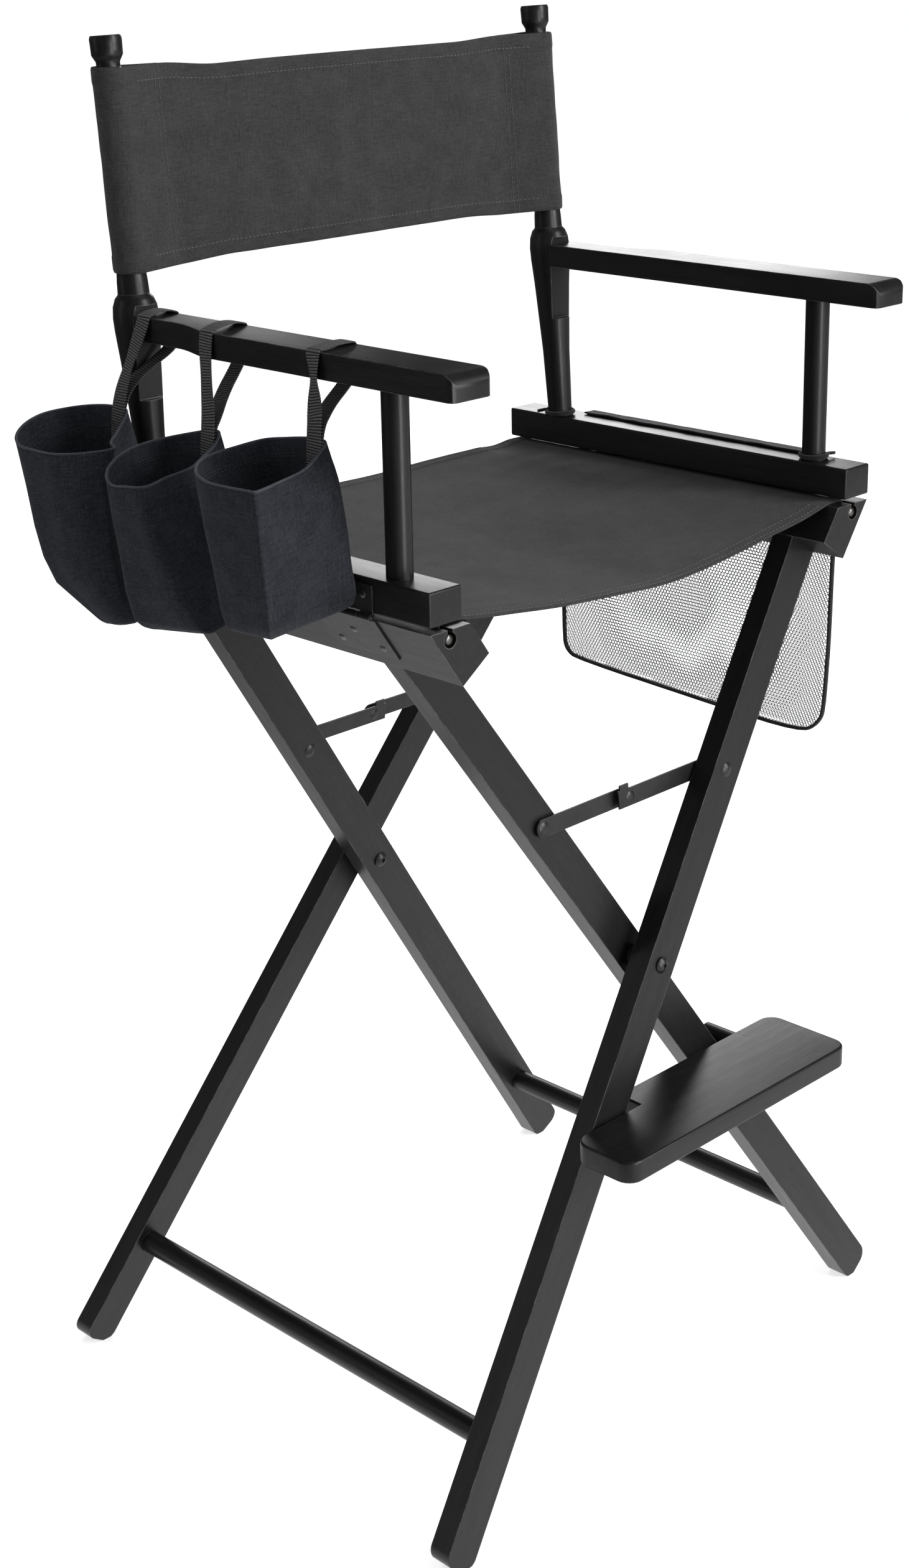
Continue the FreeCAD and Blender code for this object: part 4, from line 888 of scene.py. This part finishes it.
def net(x_at, pitch=3.7, strand=0.62, th=0.16):
    R = pitch / math.sqrt(3)
    index, V, F = {}, [], []

    def vert(y, z, layer):
        k = (round(y * 20), round(z * 20), layer)
        if k not in index:
            index[k] = len(V)
            V.append((x_at(y, z) + (th if layer else -th), y, z))
        return index[k]
    row = 0
    z = 532.0
    while z < 764:
        y = -158.0 + (pitch / 2 if row % 2 else 0)
        while y < 162:
            if inside(y, z, 2.4):
                o, i = [], []
                for k in range(6):
                    a = radians(60 * k + 30)
                    r1 = R
                    o.append((y + r1 * cos(a), z + r1 * sin(a)))
                    r2 = R - strand / 2 / cos(radians(30))
                    i.append((y + r2 * cos(a), z + r2 * sin(a)))
                ot, ob = [vert(*q, 1) for q in o], [vert(*q, 0) for q in o]
                b = len(V)
                V.extend([(x_at(*q) + th * 0.8, q[0], q[1]) for q in i] + [(x_at(*q) - th * 0.8, q[0], q[1]) for q in i])
                for k in range(6):
                    l = (k + 1) % 6
                    F.append((ot[k], ot[l], b + l, b + k))
                    F.append((ob[l], ob[k], b + 6 + k, b + 6 + l))
                    F.append((b + k, b + l, b + 6 + l, b + 6 + k))
            y += pitch
        z += pitch * math.sqrt(3) / 2
        row += 1
    return V, F


def bulge(y, z):
    q = max(0.0, 1 - ((y - 1) / 160.0) ** 2) * max(0.0, 1 - abs((z - 640) / 118.0) ** 2.4)
    return 5.0 * q + 1.2 * noise.noise(Vector((y * 0.02, z * 0.02, 4.0)))


body = "arm_left"
va, fa = net(lambda y, z: 269.8 + bulge(y, z), pitch=3.4, strand=0.62)
piece("mesh_bag_net_outer", to_m(va), fa, F_NET, body, ("mesh_bag",), smooth=False)
vb, fb = net(lambda y, z: 266.4 + 0.2 * bulge(y, z), pitch=3.4, strand=0.44)
piece("mesh_bag_net_inner", to_m(vb), fb, F_NET, body, smooth=False)
edge = [(268.2 + 0.4 * bulge(y, z), y, z) for y, z in op]
a, b = tube(edge[:-1], 2.7, 10, closed=True, flat=0.62, up=(1, 0, 0))
uvb = [(i // 10 * 3.0, (i % 10) * 1.4) for i in range(len(a))]
piece("mesh_bag_binding", to_m(a), b, F_BIND, body, uvs=uvb)
V, F = [], []
add(stitches([(270.2 + 0.4 * bulge(y, z), y, z) for y, z in (np.array(op) * 0.985 + np.array([0, 9.6]))], (1, 0, 0), 2.4, 1.4, 0.3))
piece("mesh_bag_stitching", to_m(V), F, T_POCKET, body)

# band on the arm base, turned down its outer face
yb = np.linspace(-136, 116, 150)
fr, bk, uv = [], [], []
for y in yb:
    w = 1.6 * noise.noise(Vector((y * 0.03, 1.0, 0))) + 0.8 * noise.noise(Vector((y * 0.1, 4.0, 0)))
    lift = 0.5 * (1 + noise.noise(Vector((y * 0.05, 8.0, 0))))
    path = [(249.8 + w, ARM_TOP + 1.0 + lift * 1.2), (254, ARM_TOP + 1.0 + lift * 0.5), (259, ARM_TOP + 1.0), (263.5, ARM_TOP + 1.1),
            (265.7, ARM_TOP + 0.2), (266.2, ARM_TOP - 2.5), (266.2, ARM_TOP - 12), (266.2, 763)]
    q, s = smooth_path(path, 1.5, 2)
    q, s = q[np.linspace(0, len(q) - 1, 26).astype(int)], s[np.linspace(0, len(s) - 1, 26).astype(int)]
    tg = np.gradient(q, axis=0)
    tg /= np.linalg.norm(tg, axis=1)[:, None]
    nn = np.stack([-tg[:, 1], tg[:, 0]], 1)
    fr.append([(c[0] - m[0] * -0.7, y, c[1] + m[1] * 0.7) for c, m in zip(q, nn)])
    bk.append([(c[0] + m[0] * -0.7, y, c[1] - m[1] * 0.7) for c, m in zip(q, nn)])
    uv.append([(y, k) for k in s])
v, f, u = slab(fr, bk, uv)
piece("mesh_bag_band_cloth", to_m(v), f, F_BIND, body, ("mesh_bag_band",), u)


def wrap(tag, cx, cy, r, tail, replaced):
    """Elastic wound round a post foot, its end sticking out."""
    pts = []
    for k in range(0, 150):
        g = radians(360 * 2 * k / 149 + tail)
        rr = r + 1.6 + 0.25 * sin(k * 0.31)
        pts.append((cx + rr * cos(g), cy + rr * sin(g), ARM_TOP + 1.9 + 2.3 * k / 149 + 0.25 * sin(k * 0.2)))
    g = radians(tail)
    pts += [(cx + (r + 1.6 + q) * cos(g + q * 0.03), cy + (r + 1.6 + q) * sin(g + q * 0.03), ARM_TOP + 4.2 - q * 0.12) for q in (2, 4, 6, 8)]
    a, b = tube(pts, 1.5, 9)
    uvw = [(i // 9 * 1.1, (i % 9) * 1.0) for i in range(len(a))]
    piece("mesh_bag_elastic_" + tag, to_m(a), b, F_BIND, body, (replaced,), uvw)


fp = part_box("front_post_l")
wrap("front", 500 * (fp[0].x + fp[1].x) - OX, 500 * (fp[0].y + fp[1].y) - OY, 10.0, -40, "mesh_bag_rings")
wrap("rear", POST_X, POST_Y + 0.2, 11.0, 120, "mesh_bag_rings")

# ---- floor, light, camera -----------------------------------------------------
me = bpy.data.meshes.new("floor")
R = 90.0
ring = [(R * cos(2 * pi * k / 64), R * sin(2 * pi * k / 64), 0) for k in range(64)]
me.from_pydata(ring, [], [tuple(range(64))])
floor = bpy.data.objects.new("floor", me)
bpy.context.scene.collection.objects.link(floor)
t = Tree("pale_floor")
# in reflections the floor is bright round the feet and towards the front, dark at the side
flp = t.node("ShaderNodeLightPath")
fpos = t.node("ShaderNodeNewGeometry").outputs["Position"]
lean = t.vmath("DOT_PRODUCT", fpos, (0.37, -0.93, 0.0))
front = t.node("ShaderNodeMapRange", {"Value": lean, "From Min": 0.0, "From Max": 1.6, "To Min": 0.0, "To Max": 1.0}, interpolation_type="SMOOTHSTEP").outputs["Result"]
flat = t.vmath("MULTIPLY", fpos, (1.0, 1.0, 0.0))
r2 = t.vmath("DOT_PRODUCT", flat, flat)
near = t.math("MULTIPLY", t.math("EXPONENT", t.math("MULTIPLY", r2, -1.2)), 1.2)
fade = t.math("EXPONENT", t.math("MULTIPLY", r2, -0.04))
seen = t.math("ADD", t.math("MULTIPLY", t.math("ADD", front, near), fade), 0.05)
isg = flp.outputs["Is Glossy Ray"]
t.put(t.bsdf.inputs["Base Color"], t.mix(isg, rgb(0.93, 0.93, 0.93), rgb(0.02, 0.02, 0.02)))
t.put(t.bsdf.inputs["Roughness"], 0.9)
t.put(t.bsdf.inputs["Emission Color"], rgb(1, 1, 1))
t.put(t.bsdf.inputs["Emission Strength"], t.math("ADD", t.math("MULTIPLY", flp.outputs["Is Camera Ray"], 0.66), t.math("MULTIPLY", isg, seen)))
me.materials.append(t.m)
# the floor stays under the feet when the folding legs reach down
foot = bpy.data.objects.new("foot_level", None)
bpy.context.scene.collection.objects.link(foot)
foot.location = P(-268.0, -205.0, 10.3)
foot.parent = frame["bodies"]["frame_left"]
floor.location.z = -foot.location.z
con = floor.constraints.new("COPY_LOCATION")
con.target = foot
con.use_x = con.use_y = False
con.use_offset = True

WORLD_DIFFUSE, WORLD_BAND = 0.42, 0.14
world = bpy.data.worlds.new("studio")
bpy.context.scene.world = world
world.use_nodes = True
# the sky is white to the eye, bright on matt faces and dimmer in reflections
wt = world.node_tree
bg = wt.nodes["Background"]
bg.inputs[0].default_value = (1.0, 1.0, 1.0, 1)
lp = wt.nodes.new("ShaderNodeLightPath")


def wmath(op, a, b):
    n = wt.nodes.new("ShaderNodeMath")
    n.operation = op
    for k, v in enumerate((a, b)):
        if isinstance(v, (int, float)):
            n.inputs[k].default_value = v
        else:
            wt.links.new(v, n.inputs[k])
    return n.outputs[0]


# reflections see a bright band round the horizon under a dark ceiling
geo = wt.nodes.new("ShaderNodeNewGeometry")
sep = wt.nodes.new("ShaderNodeSeparateXYZ")
wt.links.new(geo.outputs["Incoming"], sep.inputs[0])
band = wt.nodes.new("ShaderNodeMapRange")
band.interpolation_type = "SMOOTHSTEP"
wt.links.new(wmath("ABSOLUTE", sep.outputs[2], 0.0), band.inputs["Value"])
for k, v in (("From Min", 0.30), ("From Max", 0.62), ("To Min", WORLD_BAND), ("To Max", 0.05)):
    band.inputs[k].default_value = v
gl = lp.outputs["Is Glossy Ray"]
level = wmath("ADD", wmath("MULTIPLY", gl, band.outputs["Result"]), wmath("MULTIPLY", wmath("SUBTRACT", 1.0, gl), WORLD_DIFFUSE))
level = wmath("MAXIMUM", level, wmath("MULTIPLY", lp.outputs["Is Camera Ray"], 1.0))
wt.links.new(level, bg.inputs[1])


def softbox(name, at, to, size, power, size_y=None):
    d = bpy.data.lights.new(name, "AREA")
    d.energy = power
    d.size = size
    if size_y:
        d.shape = "RECTANGLE"
        d.size_y = size_y
    o = bpy.data.objects.new(name, d)
    bpy.context.scene.collection.objects.link(o)
    o.location = at
    o.rotation_euler = (Vector(to) - Vector(at)).to_track_quat("-Z", "Y").to_euler()
    o.visible_camera = False
    return o


softbox("key", (1.3, -3.0, 2.1), (0, 0, 0.6), 0.8, 98, 2.4)
softbox("side", (-2.6, 1.6, 1.7), (0, 0, 0.8), 0.35, 4, 2.4)
softbox("top", (0.3, -0.2, 3.2), (0, 0, 0.5), 1.8, 7)
softbox("sheen", (2.9, 2.6, 1.75), (0.1, 0, 0.6), 1.5, 30, 1.1)
strip = softbox("strip", (-0.16, -2.65, 0.75), (-0.16, 0, 0.75), 0.30, 30, 1.5)
strip.visible_diffuse = False

cam = bpy.data.cameras.new("camera")
co = bpy.data.objects.new("camera", cam)
bpy.context.scene.collection.objects.link(co)
az, el, roll = radians(-45.455), radians(18.863), radians(-0.961)
bvec = Vector((sin(az) * cos(el), -cos(az) * cos(el), sin(el)))
fwd = -bvec
right = fwd.cross(Vector((0, 0, 1))).normalized()
up = right.cross(fwd)
ir = right * cos(roll) + up * sin(roll)
iu = -right * sin(roll) + up * cos(roll)
co.matrix_world = Matrix((
    (ir.x, iu.x, bvec.x, (-1378.56 + OX) / 1000), (ir.y, iu.y, bvec.y, (-1356.53 + OY) / 1000),
    (ir.z, iu.z, bvec.z, 1.26091), (0, 0, 0, 1)))
cam.sensor_fit = "VERTICAL"
cam.sensor_height = 36.0
cam.sensor_width = 36.0
cam.lens = 3876.07 / 2520 * 36.0
cam.shift_x = (730.5 - 785.53) / 2520
cam.shift_y = (1126.68 - 1260.0) / 2520
cam.clip_start, cam.clip_end = 0.05, 400.0
bpy.context.scene.camera = co
bpy.context.scene.view_settings.view_transform = "Standard"
